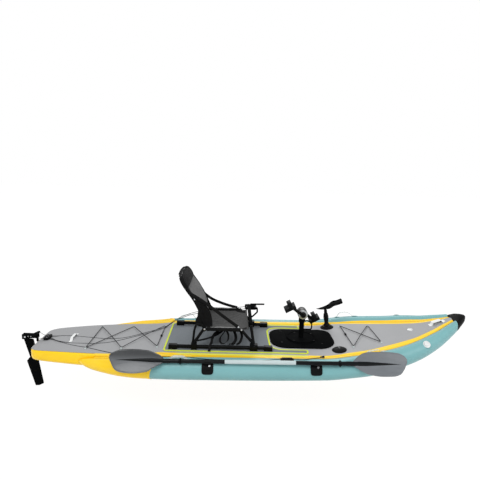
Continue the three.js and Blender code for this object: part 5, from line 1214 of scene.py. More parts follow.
class KAYAK_OT_deck(bpy.types.Operator):
    """Grey deck skin, its bungee eyes, and the foam pad with its edging"""
    bl_idname = "kayak.deck"
    bl_label = "Deck"

    def execute(self, context):
        self.skin()
        self.pad()
        self.edging()
        self.eyes()
        return {"FINISHED"}

    def skin(self):
        near = [lines.stern + 0.008 + 0.008 * i for i in range(10)]
        places = sorted({*near, *lines.spread(lines.stern + 0.09, lines.nose, 0.03), *WELL[:2]})
        gap = WELL[2] / lines.edge(0.4)
        shares = [-1, -0.985, -0.95, -0.8, -0.55, -0.3, -gap, 0, gap, 0.3, 0.55, 0.8, 0.95, 0.985,
                  1]
        verts = [Vector((x, lines.edge(x) * s, lines.top(x) - 0.0022 * abs(s) ** 14))
                 for x in places for s in shares]
        count = len(shares)
        faces = []
        for i, x in enumerate(places[:-1]):
            for j, s in enumerate(shares[:-1]):
                if WELL[0] <= x < WELL[1] and abs(s + shares[j + 1]) / 2 < gap:
                    continue
                a = i * count + j
                faces.append((a, a + count, a + count + 1, a + 1))
        shape = raw("deck_shape", verts, faces)
        bpy.context.scene.collection.objects.link(shape)
        thick = shape.modifiers.new("Thickness", "SOLIDIFY")
        thick.thickness, thick.offset = 0.003, 1.0
        settle(freeze(shape, "deck_fabric"), "deck", "hull", ("deck_skin",), 50.0)

    def outline(self):
        aft, fore, half, corner, inner, cut, bend = -0.753, 0.453, 0.310, 0.034, 0.235, 0.146, 0.110
        def quad(a, b, c, n=8):
            return [tuple(p * (1 - t) ** 2 + q * 2 * t * (1 - t) + r * t * t for p, q,
                          r in zip(a, b, c))
                    for t in evenly(0, 1, n)]
        line = quad((fore - corner, -half), (fore, -half), (fore, corner - half))
        line += quad((fore, -inner - 0.012), (fore, -inner), (fore - 0.012, -inner), 4)
        line += quad((cut + bend, -inner), (cut, -inner), (cut, bend - inner))
        line += quad((cut, inner - bend), (cut, inner), (cut + bend, inner))
        line += quad((fore - 0.012, inner), (fore, inner), (fore, inner + 0.012), 4)
        line += quad((fore, half - corner), (fore, half), (fore - corner, half))
        line += quad((corner + aft, half), (aft, half), (aft, half - corner))
        line += quad((aft, corner - half), (aft, -half), (corner + aft, -half))
        return line

    def pad(self):
        low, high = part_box("deck_pad")[0][2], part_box("deck_pad")[1][2]
        bm = bmesh.new()
        face = bm.faces.new([bm.verts.new((x, y, high - 0.0008)) for x, y in self.outline()])
        bmesh.ops.inset_region(bm, faces=[face], thickness=0.008, use_even_offset=True)
        inner = max(bm.faces, key=lambda f: f.calc_area())
        bmesh.ops.inset_region(bm, faces=[inner], thickness=0.0012, depth=0.0008,
                               use_even_offset=True)
        inner = max(bm.faces, key=lambda f: f.calc_area())
        for f in bm.faces:
            f.material_index = 0 if f is inner or all(abs(v.co.z - high) < 2e-4
                                                      for v in f.verts) else 1
        rim = [e for e in bm.edges if len(e.link_faces) == 1]
        grown = bmesh.ops.extrude_edge_only(bm, edges=rim)["geom"]
        for v in grown:
            if isinstance(v, bmesh.types.BMVert):
                v.co.z = low
        skirt = [f for f in grown if isinstance(f, bmesh.types.BMFace)]
        bottom = [e for e in bm.edges if len(e.link_faces) == 1]
        for f in skirt + list(bmesh.ops.contextual_create(bm, geom=bottom)["faces"]):
            f.material_index = 1
        bmesh.ops.triangulate(bm, faces=[f for f in bm.faces if len(f.verts) > 4])
        mesh = bpy.data.meshes.new("deck_pad_foam")
        bm.to_mesh(mesh)
        bm.free()
        settle(bpy.data.objects.new("deck_pad_foam", mesh), ["pad", "border"], "hull",
               ("deck_pad",), 50.0)

    def edging(self):
        """Lime edging that lies on the pad's rim, with its two ends side by side."""
        high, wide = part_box("deck_pad")[1][2], settings("hull").border_width
        line, rings = self.outline(), []
        count = len(line)
        section = ((0.0008, -0.0002), (0.0008, 0.0008), (0.0016, 0.0011), (wide - 0.001, 0.0011),
                   (wide, 0.0008), (wide, -0.0002))
        for i in range(count + 1):
            here = Vector((*line[i % count], high))
            way = (Vector((*line[(i + 1) % count], high)) - Vector((*line[(i - 1) % count],
                                                                    high))).normalized()
            inward = Vector((-way.y, way.x, 0))
            if i == count:
                here -= way * 0.0006
            rings.append([here + inward * shift + Z * lift for shift, lift in section])
        skinned("deck_pad_edging", rings, "border", "hull", slot="pad_foam", limit=50.0)

    def eyes(self):
        disc = [(0.019, 0.0), (0.019, 0.0014), (0.016, 0.0026), (0.0001, 0.0028)]
        verts, faces = round_shape(disc, 14)
        loop = [Vector((0.0, 0.009 * math.cos(a), 0.002 + 0.011 * math.sin(a)))
                for a in evenly(0, math.pi, 8)]
        more, sides, _ = loft(strap_rings(loop, X, 0.014, 0.0016))
        shape = (verts + more, faces + [tuple(i + len(verts) for i in f) for f in sides])
        spots = []
        for x, y in bungee_rows():
            for s in (1, -1):
                slope = (lines.top(x + 0.01) - lines.top(x - 0.01)) / 0.02
                normal = Vector((-slope, 0, 1)).normalized()
                spots.append((Vector((x, s * y, lines.top(x) - 0.0004)), normal,
                              Vector((1, 0, slope))))
        copies("bungee_eyes", shape, spots, "clear", "hull", 50.0)


def bungee_rows():
    return [(-1.405, 0.235), (-1.108, 0.235), (-0.811, 0.235), (0.838, 0.231), (1.085, 0.192)]


class KAYAK_OT_bungees(bpy.types.Operator):
    """Bungee cords laced over the two luggage decks, each with its toggle"""
    bl_idname = "kayak.bungees"
    bl_label = "Bungees"

    def execute(self, context):
        w = 0.235
        self.lace("rear",
                  [(-1.405, w - 0.009), (-1.405, -w), (-1.108, w), (-0.811, -w), (-0.811, w),
                           (-1.108, -w), (-1.405, w)], [0, 0, 0, 0, 1, 1], (-0.811, -0.01))
        self.lace("front", [(0.838, 0.231), (1.085, -0.192), (1.085, 0.192), (0.838, -0.231),
                            (0.838, 0.222)], [0, 0, 1, 0], (0.838, 0.03))
        return {"FINISHED"}

    def lace(self, name, stops, over, toggle):
        height = 0.0125
        route = []
        for i, (x, y) in enumerate(stops):
            z = lines.top(x) + height
            if i:
                px, py = stops[i - 1]
                route.append(Vector(((x + px) / 2, (y + py) / 2,
                                     (z + lines.top(px) + height) / 2 + 0.0062 * over[i - 1])))
            route.append(Vector((x, y, z)))
        line = turned_corners(route, 0.010, 4)
        bar(name + "_bungee_cord", line, 0.0029, "rope", "hull", 10, replaces=(name + "_bungee",),
            slot="cord_cover", limit=80.0)
        x, y = toggle
        z = lines.top(x) + height
        profile = [(0.0001, -0.017), (0.006, -0.016), (0.0085, -0.010), (0.0062, -0.002),
                   (0.0062, 0.002),
                   (0.0085, 0.010), (0.006, 0.016), (0.0001, 0.017)]
        turned(name + "_bungee_toggle", profile, (x, y, z), (0.0, 1, 0), "plastic", "hull", 16,
               slot="black_plastic")


class KAYAK_OT_fittings(bpy.types.Operator):
    """Bow cap, carry handles and valves"""
    bl_idname = "kayak.fittings"
    bl_label = "Hull fittings"

    def execute(self, context):
        self.cap()
        dressed("stern_handle", "pale_web", 0.0006, 20)
        dressed("bow_handle", "pale_web", 0.0006, 20)
        for node in ("starboard_rear_handle", "starboard_front_handle"):
            dressed(node, "clear", 0.001, 20)
        for end, stops in (("rear",
                            [(-0.692, 0.172), (-0.655, 0.186), (-0.612, 0.192), (-0.570, 0.183)]),
                           ("front", [(0.880, 0.243), (0.915, 0.254), (0.950, 0.255),
                                      (0.990, 0.240)])):
            first, _ = lines.on_tube(stops[0][0] - 0.024, 1, 76, -0.002)
            last, _ = lines.on_tube(stops[-1][0] + 0.024, 1, 76, -0.002)
            line = through([first] + [(x, first.y, max(z, first.z + 0.012)) for x,
                                      z in stops] + [last], 8)
            strap("port_%s_loop" % end, line, (0, 1, 0), 0.018, 0.0022, "clear", "hull",
                  replaces=("port_%s_handle" % end,), slot="pale_plastic")
        self.handle_pads()
        self.valves()
        return {"FINISHED"}

    def cap(self):
        rows = {x: row for x, row in stations("bow_cap").items() if len(row) >= 8}
        places = sorted(rows)
        wide = through_values(places, [max(y for y, _ in rows[x]) for x in places])
        low = through_values(places, [min(z for _, z in rows[x]) for x in places])
        high = through_values(places, [max(z for _, z in rows[x]) for x in places])
        start, end = places[0], places[-1]
        rings = []
        steps = [(start - 0.006, 1.0), (start - 0.004, 1.012), (start + 0.006, 1.014),
                 (start + 0.010, 1.002)]
        steps += [(start + 0.012 + (end - start - 0.012) * i / 22, 1.0) for i in range(23)]
        steps += [(end + 0.002, 0.75), (end + 0.003, 0.35)]
        for x, grow in steps:
            at = min(max(x, start), end)
            w, middle = wide(at) * grow, (low(at) + high(at)) / 2
            half = (high(at) - low(at)) / 2 * grow
            ring = []
            for i in range(48):
                a = 2 * math.pi * i / 48
                c, s = math.cos(a), math.sin(a)
                square = max(abs(c), abs(s)) ** 0.4
                ring.append(Vector((x, w * c / square, middle + half * s / square)))
            rings.append(ring)
        verts, faces, uvs = loft(rings)
        piece("bow_cap_shell", verts, faces, "rubber", "hull", ("bow_cap",), "black_plastic", 60.0,
              uvs)

    def handle_pads(self):
        pad = round_shape(((0.026, 0.0), (0.026, 0.0012), (0.022, 0.0022), (0.0001, 0.0024)), 20,
                          (1.25, 0.85))
        spots = []
        for side in (1, -1):
            for place in (-0.608, 0.952):
                for end in (-0.082, 0.082):
                    point, normal = lines.on_tube(place + end, side, 76, 0.0002)
                    spots.append((point, normal, X))
        copies("handle_pads", pad, spots, "tube", "hull")

    def valves(self):
        dressed("deck_valve", "valve", 0.0015, 30)
        profile = [(0.030, -0.001), (0.030, 0.003), (0.027, 0.0045), (0.021, 0.005), (0.020, 0.009),
                   (0.017, 0.011), (0.0001, 0.0115)]
        for name, side in SIDES:
            point, normal = lines.on_tube(1.406, side, 48)
            turned(name + "_tube_valve", profile, point, normal, "valve", "hull", 32,
                   slot="pale_plastic", limit=30.0)


# ---------------------------------------------------------------- seat

def on_back(share, y, lift):
    """A place on the back's curve: share is height above its pivot, lift is towards the front."""
    rise = [(0, 0), (0.26, 0.11), (0.55, 0.38), (0.81, 0.75), (1, 1)]
    curve = through_values([a for a, _ in rise], [b for _, b in rise])
    pivot, height, reach = Vector((-0.420, 0, 0.326)), 0.418, 0.205
    at = lambda t: Vector((-reach * curve(t), 0, height * t))
    ahead = at(min(share + 0.004, 1)) - at(max(share - 0.004, 0))
    normal = Vector((ahead.z, 0, -ahead.x)).normalized()
    return pivot + at(share) + Vector((0, y, 0)) + normal * lift


class KAYAK_OT_seat(bpy.types.Operator):
    """Seat rails and frames, the creased sling, the padded back and its straps"""
    bl_idname = "kayak.seat"
    bl_label = "Seat"

    def execute(self, context):
        for side in ("port", "starboard"):
            dressed(side + "_seat_rail", "metal", 0.0015, 36)
            dressed(side + "_seat_frame", "metal", 0.0008, 52)
            dressed(side + "_lock_knob", "plastic", 0.0015, 30)
        dressed("front_crossbar", "matte", 0.001, 40)
        dressed("back_frame", "metal", 0.0008, 52)
        self.sling()
        self.back()
        self.wings()
        self.straps()
        self.small()
        return {"FINISHED"}

    def small(self):
        for name, side in SIDES:
            y = side * 0.252
            line = turned_corners([(-0.512, y, 0.200), (-0.500, y, 0.318), (-0.486, y, 0.366),
                                   (-0.444, y, 0.370),
                                   (-0.423, y, 0.338)], 0.022, 6)
            bar(name + "_rear_upright", line, 0.0095, "metal", "seat", 20, slot="black_metal",
                limit=60.0)
        spots = []
        for side in (1, -1):
            for x, z in ((-0.416, 0.331), (-0.111, 0.331)):
                spots.append((Vector((x, side * 0.2655, z)), Vector((0, side, 0.25)),
                              Vector((1, 0, 0))))
        copies("frame_rivets", bolt_shape(0.0075, 0.005, 12), spots, "steel", "seat")
        spots = [(on_back(0.585, side * 0.2355, 0.004), Vector((0.3, side, 0)), Vector((0, 0, 1)))
                 for side in (1, -1)]
        copies("back_rivets", bolt_shape(0.0065, 0.004, 12), spots, "steel", "seat_back")

    def wings(self):
        """Dark cloth that runs from the back's sides down to the seat's side tubes."""
        rear = through([(-0.440, 0, 0.3405), (-0.492, 0, 0.356), (-0.490, 0, 0.405),
                        (-0.461, 0, 0.468),
                        (-0.482, 0, 0.545), (-0.530, 0, 0.622)], 6)
        fronts = {"port": [(-0.372, 0, 0.3405), (-0.386, 0, 0.365), (-0.406, 0, 0.410),
                           (-0.432, 0, 0.462),
                           (-0.460, 0, 0.520), (-0.513, 0, 0.596)],
                  "starboard": [(-0.352, 0, 0.3405), (-0.352, 0, 0.365), (-0.356, 0, 0.410),
                                (-0.372, 0, 0.468),
                                (-0.414, 0, 0.532), (-0.497, 0, 0.596)]}
        for name, side in SIDES:
            fore = through(fronts[name], 6)
            rows = []
            for i, (a, b) in enumerate(zip(rear, fore)):
                k = i / (len(rear) - 1)
                row = []
                for j in range(15):
                    t = j / 14
                    p = a.lerp(b, t)
                    wave = 0.0022 * math.sin(t * 9 + k * 4) * math.sin(math.pi * t)
                    p.y = side * (0.2372 + 0.0065 * max(0,
                                                        1 - k * 5) ** 2
                                                        - 0.003 * math.sin(math.pi * t) * (k > 0.15)
                                                        + wave)
                    row.append(p)
                rows.append(row)
            inset = Vector((0, -side * 0.0014, 0))
            rings = [row + [p + inset for p in reversed(row)] for row in rows]
            verts, faces, uvs = loft(rings)
            wing = piece(name + "_seat_wing", verts, faces, "dark_cloth", "seat",
                         slot="seat_fabric", limit=60.0, uvs=uvs,
                         ride=False)
            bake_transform(wing)

    def sling(self):
        low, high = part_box("seat_sling")
        aft, fore, half = low[0], high[0], high[1]
        rise = through_values([0, 0.5, 0.75, 0.9, 1.0], [0, 0, 0.10, 0.24, 0.36])
        crease = settings("seat").crease
        folds = [(-0.10, -0.20), (-0.04, -0.205), (0.0, 0.10), (0.03, 0.215), (0.06, 0.21),
                 (-0.07, -0.08), (0.09, 0.02)]
        reach = fore - aft

        def height(s, t):
            x, y = aft + reach * s, half * t
            z = 0.312 + 0.042 * rise(s) - 0.046 * (1 - 0.7 * s ** 4) * (1 - t * t)
            lift = 0.0
            for root, ey in folds:
                run = Vector((reach, ey - root, 0)).normalized()
                spot = Vector((x - aft, y - root, 0))
                away = (spot - run * spot.dot(run)).length
                fade = math.sin(math.pi * min(max(s * 1.05 + 0.04, 0), 1)) * (1 - s * 0.5)
                lift += crease * fade * (math.exp(-(away / 0.0075) ** 2)
                                         - 0.5 * math.exp(-((away - 0.017) / 0.010) ** 2))
            return Vector((x, y, z + 0.0045 + lift * (1 - t ** 6)))

        across = [-1 + 2 * i / 60 for i in range(61)]
        rings = []
        for row in ([height(s, t) for t in across] for s in (i / 48 for i in range(49))):
            rings.append(row + [p - Vector((0, 0, 0.0042)) for p in reversed(row)])
        verts, faces, uvs = loft(rings)
        sling = piece("seat_sling_cloth", verts, faces, "sling", "seat", ("seat_sling",),
                      "seat_fabric", 60.0, uvs)
        for name, side in SIDES:
            y = side * 0.252
            bar(name + "_sling_sleeve",
                [Vector((-0.395 + 0.27 * i / 36, y, 0.3262)) for i in range(37)],
                lambda s: 0.0150 + 0.0005 * math.sin(s * 37), "dark_cloth", "seat", 20,
                slot="seat_fabric", limit=70.0)
            # Painted highlight: a thin pale grey cloth strip along the top of each sleeve stands in
            # for the light on the sleeve.
            lace = [Vector((x, side * 0.2435, 0.3405 + 0.001 * math.sin(x * 60)))
                    for x in (-0.372 + 0.222 * i / 30 for i in range(31))]
            bar(name + "_sling_piping", lace,
                lambda s: 0.0006 + 0.0044 * math.sin(math.pi * s) ** 0.4, "piping", "seat", 12,
                slot="seat_fabric", limit=70.0)
            hem = [Vector((x, side * 0.236, 0.3262 + 0.0068))
                   for x in (-0.385 + 0.30 * i / 40 for i in range(41))]
            for p in hem:
                p.z = height((p.x - aft) / reach, abs(p.y) / half).z + 0.0008
            stitches(name + "_sling_stitches", [hem], "thread", "seat", 0.008, 0.0026, 0.0007)
            band = []
            for i in range(13):
                x = -0.066 - 0.090 * (i / 12)
                row = []
                for y0 in (0.234, 0.234 - 0.055 * (1 - i / 12) - 0.004):
                    p = height((x - aft) / reach, y0 / half)
                    p.y, p.z = side * y0, p.z + 0.0009
                    row.append(p)
                lift = Vector((0, 0, 0.0012))
                band.append([row[0], (row[0] + row[1]) / 2, row[1], row[1] + lift,
                             (row[0] + row[1]) / 2 + lift, row[0] + lift])
            verts, faces, uvs = loft(band)
            piece(name + "_sling_gusset", verts, faces, "dark_cloth", "seat", slot="seat_fabric",
                  limit=30.0, uvs=uvs)

    def back(self):
        half, front, rear = 0.2372, 0.0125, -0.0135
        shares = sorted({i / 50 for i in range(51)} | {0.785, 0.795})
        outline = through_values([0, 0.16, 0.4, 0.86, 0.94, 1], [0.93, 0.985, 1, 1, 0.955, 0.80])
        deep = through_values([0, 0.16, 0.4, 0.66, 0.77, 0.80, 0.88, 0.96, 1],
                              [0.004, 0.006, 0.005, 0.006, 0.006, 0.020, 0.029, 0.024, 0.008])
        open_share = through_values([0, 0.10, 0.30, 0.60, 0.785], [0.84, 0.90, 0.94, 0.92, 0.84])

        def belly(s, t):
            d = deep(s) * (0.30 + 0.70 * (1 - abs(t) ** 3.2))
            if s < 0.785:
                d -= 0.0035 * math.exp(-((abs(t) - open_share(s)) / 0.030) ** 2)
                d += 0.0018 * math.sin(s * 21 + t * 3) * (1 - abs(t)) * (s < 0.7)
            return d - 0.003 * math.exp(-((s - 0.79) / 0.010) ** 2)

        def along(s, t):
            return 0.04 + 0.96 * s + 0.042 * (1 - t * t) * max(0, (s - 0.8) / 0.2) ** 2

        rings, cells = [], []
        for s in shares:
            edge = open_share(min(s, 0.785))
            across = [-1 + (1 - edge) * i / 9 for i in range(9)] + [-edge + 2 * edge * i / 28
                                                                    for i in range(29)]
            across += [edge + (1 - edge) * (i + 1) / 9 for i in range(9)]
            y = lambda t: half * outline(s) * t
            row = [on_back(along(s, t), y(t), front + belly(s, t)) for t in across]
            wrap = [on_back(along(s, t), y(t) * 1.004, lift) for t,
                    lift in ((1, 0.006), (1, -0.006))]
            behind = [on_back(along(s, t), y(t), rear + 0.004 * (1 - t ** 8))
                      for t in reversed(across)]
            close = [on_back(along(s, t), y(t) * 1.004, lift) for t,
                     lift in ((-1, -0.006), (-1, 0.006))]
            rings.append(row + wrap + behind + close)
        verts, faces, uvs = loft(rings)
        count = len(rings[0])
        for f in faces:
            share, column = shares[min(f[0] // count, len(shares) - 1)], f[0] % count
            cells.append(0 if len(f) == 4 and 9 <= column < 37 and share < 0.784
                         and f[1] < len(rings) * count else 1)
        panel = piece("back_panel_cloth", verts, faces, ["mesh", "dark_cloth"], "seat_back",
                      ("back_panel",),
                      "seat_fabric", 60.0, uvs, cells)
        rows = []
        for side in (-1, 1):
            for off in (-0.022, 0.022):
                rows.append([on_back(along(s, t), half * outline(s) * t,
                                     front + 0.0009 + belly(s, t))
                             for s, t in ((s, side * (open_share(s) + off))
                                          for s in (0.06 + 0.71 * i / 50 for i in range(51)))])
        rows.append([on_back(along(0.80, t), half * 0.96 * t, front + 0.0012 + belly(0.80, t))
                     for t in (-0.96 + 1.92 * i / 40 for i in range(41))])
        stitches("back_stitches", rows, "thread", "seat_back", 0.008, 0.0026, 0.0008)
        for name, side in SIDES:
            edge = [on_back(along(s, 1), side * half * outline(s) * 0.982, 0.0085)
                    for s in (0.16 + 0.84 * i / 60 for i in range(61))]
            bar(name + "_back_piping", edge, 0.0032, "dark_web", "seat_back", 10,
                slot="seat_fabric", limit=60.0)

    def straps(self):
        thick = settings("seat").strap
        routes = {
            "starboard": [(-0.553, 0.632), (-0.441, 0.566), (-0.345, 0.499), (-0.240, 0.421),
                          (-0.142, 0.352)],
            "port": [(-0.550, 0.622), (-0.508, 0.548), (-0.452, 0.480), (-0.385, 0.430),
                     (-0.305, 0.394), (-0.220, 0.366),
                     (-0.142, 0.346)]}
        for name, side in SIDES:
            stops = routes[name]
            line = through([(x, side * (0.2405 + 0.010 * i / (len(stops) - 1)), z) for i,
                            (x, z) in enumerate(stops)], 8)
            made = strap(name + "_back_webbing", line, (0.62, 0, 0.78), 0.026, thick, "dark_web",
                         "seat",
                         replaces=(name + "_back_strap",), slot="dark_webbing")
            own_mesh(made)
            end = line[-1]
            turned(name + "_strap_rivet",
                   [(0.007, -0.001), (0.007, 0.0015), (0.005, 0.003), (0.0001, 0.0034)],
                   end + Vector((0.006, side * 0.0025, -0.004)), (0, side, 0), "steel", "seat", 16,
                   slot="silver_metal")
        tails = [
            ([(-.300, -.150, .272), (-.335, -.180, .255), (-.352, -.200, .228),
              (-.356, -.222, .201), (-.362, -.250, .1965)], (1, .2, 0), .022),
            ([(-.235, -.130, .268), (-.218, -.170, .246), (-.222, -.205, .214),
              (-.250, -.222, .192), (-.280, -.210, .192),
              (-.288, -.180, .215), (-.262, -.145, .248), (-.240, -.120, .268)], (0.5, 1, 0), .022),
            ([(-.175, -.130, .272), (-.158, -.175, .252), (-.156, -.215, .226),
              (-.172, -.240, .203), (-.196, -.246, .1955), (-.212, -.243, .195)], (1, .3, 0), .024),
            ([(-.496, -.236, .214), (-.430, -.222, .221), (-.350, -.190, .236),
              (-.285, -.140, .255), (-.262, -.110, .267)], (0, 1, .4), .018),
            ([(-.250, .090, .266), (-.260, .130, .230), (-.240, .160, .190), (-.200, .170, .163)],
             (1, 0, 0), .022),
            ([(-.120, -.160, .282), (-.105, -.200, .262), (-.110, -.228, .232),
              (-.128, -.243, .206), (-.150, -.247, .1965)], (1, .3, 0), .020)]
        for i, (stops, across, width) in enumerate(tails):
            strap("strap_tail_%d" % (i + 1), through(stops, 7), across, width, thick, "dark_web",
                  "seat", slot="dark_webbing")
        line = through([(-.362, -.247, .1955), (-.366, -.266, .1962), (-.370, -.284, .178),
                        (-.372, -.298, .1605),
                        (-.373, -.312, .1575)], 7)
        strap("long_tail", line, (1, 0, 0), .022, .0016, "dark_web", "seat", slot="dark_webbing")


# ---------------------------------------------------------------- steering and rudder

class KAYAK_OT_steering(bpy.types.Operator):
    """Steering box with its arm and lever, and the block that guides the cables"""
    bl_idname = "kayak.steering"
    bl_label = "Steering"

    def execute(self, context):
        dressed("steering_box", "matte", 0.002, 50)
        dressed("steering_lever", "gloss_plastic", 0.001, 40)
        line = [Vector((-0.014 + 0.1345 * i / 24, 0.345 + 0.010 * i / 24, 0.3495))
                for i in range(25)]
        bar("lever_grip", line, lambda s: 0.0080 + 0.0006 * math.sin(s * 70), "rubber", "lever", 20,
            slot="black_plastic")
        dressed("cable_guide_block", "plastic", 0.002, 40)
        spots = [(Vector((x, 0.345 + y, 0.3362)), Vector((0, 0, 1)), Vector((1, 0, 0)))
                 for x in (-0.055, 0.031) for y in (-0.036, 0.036)]
        copies("steering_screws", bolt_shape(0.004, 0.002), spots, "steel", "seat")
        spots = [(Vector((-1.815, y, 0.1262)), Vector((-0.04, 0, 1)), Vector((1, 0, 0)))
                 for y in (-0.034, 0, 0.034)]
        copies("guide_screws", bolt_shape(0.004, 0.002), spots, "steel", "hull")
        return {"FINISHED"}


class KAYAK_OT_rudder(bpy.types.Operator):
    """Rudder bracket, head and blade, with the cables that turn it"""
    bl_idname = "kayak.rudder"
    bl_label = "Rudder"

    def execute(self, context):
        dressed("rudder_bracket", "metal", 0.001, 40)
        dressed("rudder_head", "matte", 0.0018, 40)
        dressed("rudder_blade", "matte", 0.0025, 40)
        dressed("blade_bolt", "steel", 0.0006, 40)
        for name, side in SIDES:
            start = Vector((-1.842, side * 0.030, 0.113))
            end = Vector((-1.9235, side * 0.063, 0.139))
            line = through([start, start.lerp(end, 0.5) + Vector((0, 0, -0.002)), end], 8)
            wire = bar(name + "_yoke_wire", line, 0.0018, "sheath", "hull", 8,
                       slot="cable_sheath", limit=80.0, ride=False)
            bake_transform(wire)
        spots = [(Vector((x, side * 0.0202, 0.126)), Vector((0, side, 0)), Vector((1, 0, 0)))
                 for x in (-1.955, -1.98) for side in (1, -1)]
        copies("head_rivets", bolt_shape(0.004, 0.0018), spots, "steel", "rudder")
        return {"FINISHED"}


# ---------------------------------------------------------------- drive

class KAYAK_OT_drive(bpy.types.Operator):
    """Pedal drive with its plate, bolts, housing, cranks, pedals and propeller"""
    bl_idname = "kayak.drive"
    bl_label = "Pedal drive"

    def execute(self, context):
        dressed("drive_plate", "matte", 0.003, 40)
        dressed("drive_column", "matte", 0.001, 40)
        dressed("gear_head", "gloss_plastic", 0.0015, 40)
        dressed("gear_head_cover", "silver", 0.0015, 40)
        dressed("crank_axle", "metal", 0.001, 40)
        dressed("starboard_crank", "metal", 0.002, 40)
        dressed("drive_shaft", "steel", 0.0, 40)
        dressed("propeller", "gloss_plastic", 0.0008, 40)
        for side in ("port", "starboard"):
            dressed(side + "_pedal", "plastic", 0.004, 40)
        self.bolts()
        self.hubs()
        return {"FINISHED"}

    def bolts(self):
        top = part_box("drive_plate")[0][2] + 0.012
        places = [(0.265, 0.138), (0.439, 0.138), (0.250, -0.107), (0.596, -0.122),
                  (0.385, 0.088), (0.357, -0.087), (0.533, -0.077), (0.533, 0.078)]
        spots = []
        for x, y in places:
            inside = math.hypot(x - 0.431, y) < 0.134
            z = lines.top(x) + 0.0003 + 0.012 + (0.0098 if inside else 0)
            spots.append((Vector((x, y, z)), Vector((0, 0, 1)), Vector((1, 0, 0))))
        copies("plate_bolts", bolt_shape(0.008, 0.004, 12), spots, "metal", "hull")
        ring = [(0.118, 0.0), (0.118, 0.003), (0.122, 0.0045), (0.126, 0.003), (0.126, 0.0)]
        turned("flange_bead", ring, (0.431, 0, top + 0.0096), (0, 0, 1), "matte", "hull", 64,
               slot="black_plastic")

    def hubs(self):
        ring = [(0.027, 0.0), (0.027, 0.004), (0.024, 0.0055), (0.0001, 0.006)]
        turned("head_hub", ring, (0.431, -0.0458, 0.395), (0, -1, 0), "gloss_plastic", "hull", 40,
               slot="black_plastic")


# ---------------------------------------------------------------- holders and paddle

class KAYAK_OT_holders(bpy.types.Operator):
    """Rod holder on its swivel base, and the spare accessory base"""
    bl_idname = "kayak.holders"
    bl_label = "Rod holder"

    def execute(self, context):
        for node, width in (("rod_holder_base", 0.0015), ("rod_holder_post", 0.0012),
                            ("accessory_base", 0.0015)):
            dressed(node, "plastic", width, 34)
        tilt = Vector((-0.1419, 0, 0.9899))
        top = Vector((0.716, -0.250, 0.16722)) + tilt * 0.0242
        spots = [(top + Vector((0, y, 0)), tilt, Vector((1, 0, 0.14))) for y in (-0.012, 0.012)]
        copies("base_screws", bolt_shape(0.004, 0.002), spots, "steel", "hull")
        foot = Vector((0.71531, 0.252, 0.19339))
        sleeve = [(0.0001, 0.001), (0.028, 0.001), (0.030, 0.004), (0.024, 0.012), (0.0185, 0.030),
                  (0.0225, 0.060),
                  (0.0245, 0.085), (0.0215, 0.108), (0.0185, 0.118), (0.0170, 0.1195),
                  (0.0001, 0.1195)]
        turned("holder_post_sleeve", sleeve, foot, tilt, "plastic", "holder_post", 40,
               slot="black_plastic", limit=45.0)
        ring = [(0.046, 0.0), (0.046, 0.010), (0.040, 0.017), (0.034, 0.0185), (0.0001, 0.019)]
        turned("holder_base_collar", ring, Vector((0.719, 0.252, 0.16765)) + tilt * 0.006, tilt,
               "plastic", "hull", 48,
               slot="black_plastic", limit=35.0)
        self.cradle()
        return {"FINISHED"}

    def cradle(self):
        """Rod cradle: a curved trough, open above at its tongue and nearly closed at its mouth."""
        root = Vector((0.68153, 0.25249, 0.37924))
        ahead, side, up = Vector((0.9374, -0.0683, 0.3417)), Vector((0.0691, 0.9976,
                                                                     0.0099)), Vector((-0.3415,
                                                                                       0.0143, 0.9398))
        places = [-0.080, -0.066, -0.038, 0.0, 0.038, 0.061, 0.091, 0.128, 0.150, 0.172]
        centre = through_values(places,
                                [0.004, 0.002, -0.004, -0.010, -0.012, -0.006, 0.002, 0.000, 0.002,
                                 0.004])
        radius = through_values(places,
                                [0.006, 0.012, 0.0180, 0.0215, 0.0255, 0.0265, 0.0260, 0.0245,
                                 0.0245, 0.0250])
        gape = through_values(places, [150, 130, 100, 80, 60, 44, 34, 30, 28, 28])
        rings = []
        for i in range(57):
            x = -0.080 + 0.252 * i / 56
            open_half = math.radians(gape(x))
            outer = radius(x)
            inner = outer - min(0.0034, outer * 0.45)
            arc = [open_half + (2 * math.pi - 2 * open_half) * j / 26 for j in range(27)]
            middle = root + ahead * x + up * centre(x)
            ring = [middle + side * (outer * math.sin(a)) + up * (outer * math.cos(a)) for a in arc]
            ring += [middle + side * (inner * math.sin(a)) + up * (inner * math.cos(a))
                     for a in reversed(arc)]
            rings.append(ring)
        count = len(rings[0])
        verts = [p for ring in rings for p in ring]
        faces = [(i * count + j, i * count + (j + 1) % count, (i + 1) * count + (j + 1) % count,
                  (i + 1) * count + j)
                 for i in range(56) for j in range(count)]
        for base in (0, 56 * count):
            faces += [(base + j, base + j + 1, base + count - 2 - j, base + count - 1 - j)
                      for j in range(26)]
        piece("rod_cradle", verts, faces, "plastic", "holder_tube", ("rod_holder_tube",),
              "black_plastic", 40.0)
        pin = root + up * -0.036
        bar("cradle_knuckle", [pin - side * 0.0186, pin + side * 0.0186], 0.011, "plastic",
            "holder_tube", 24, slot="black_plastic")


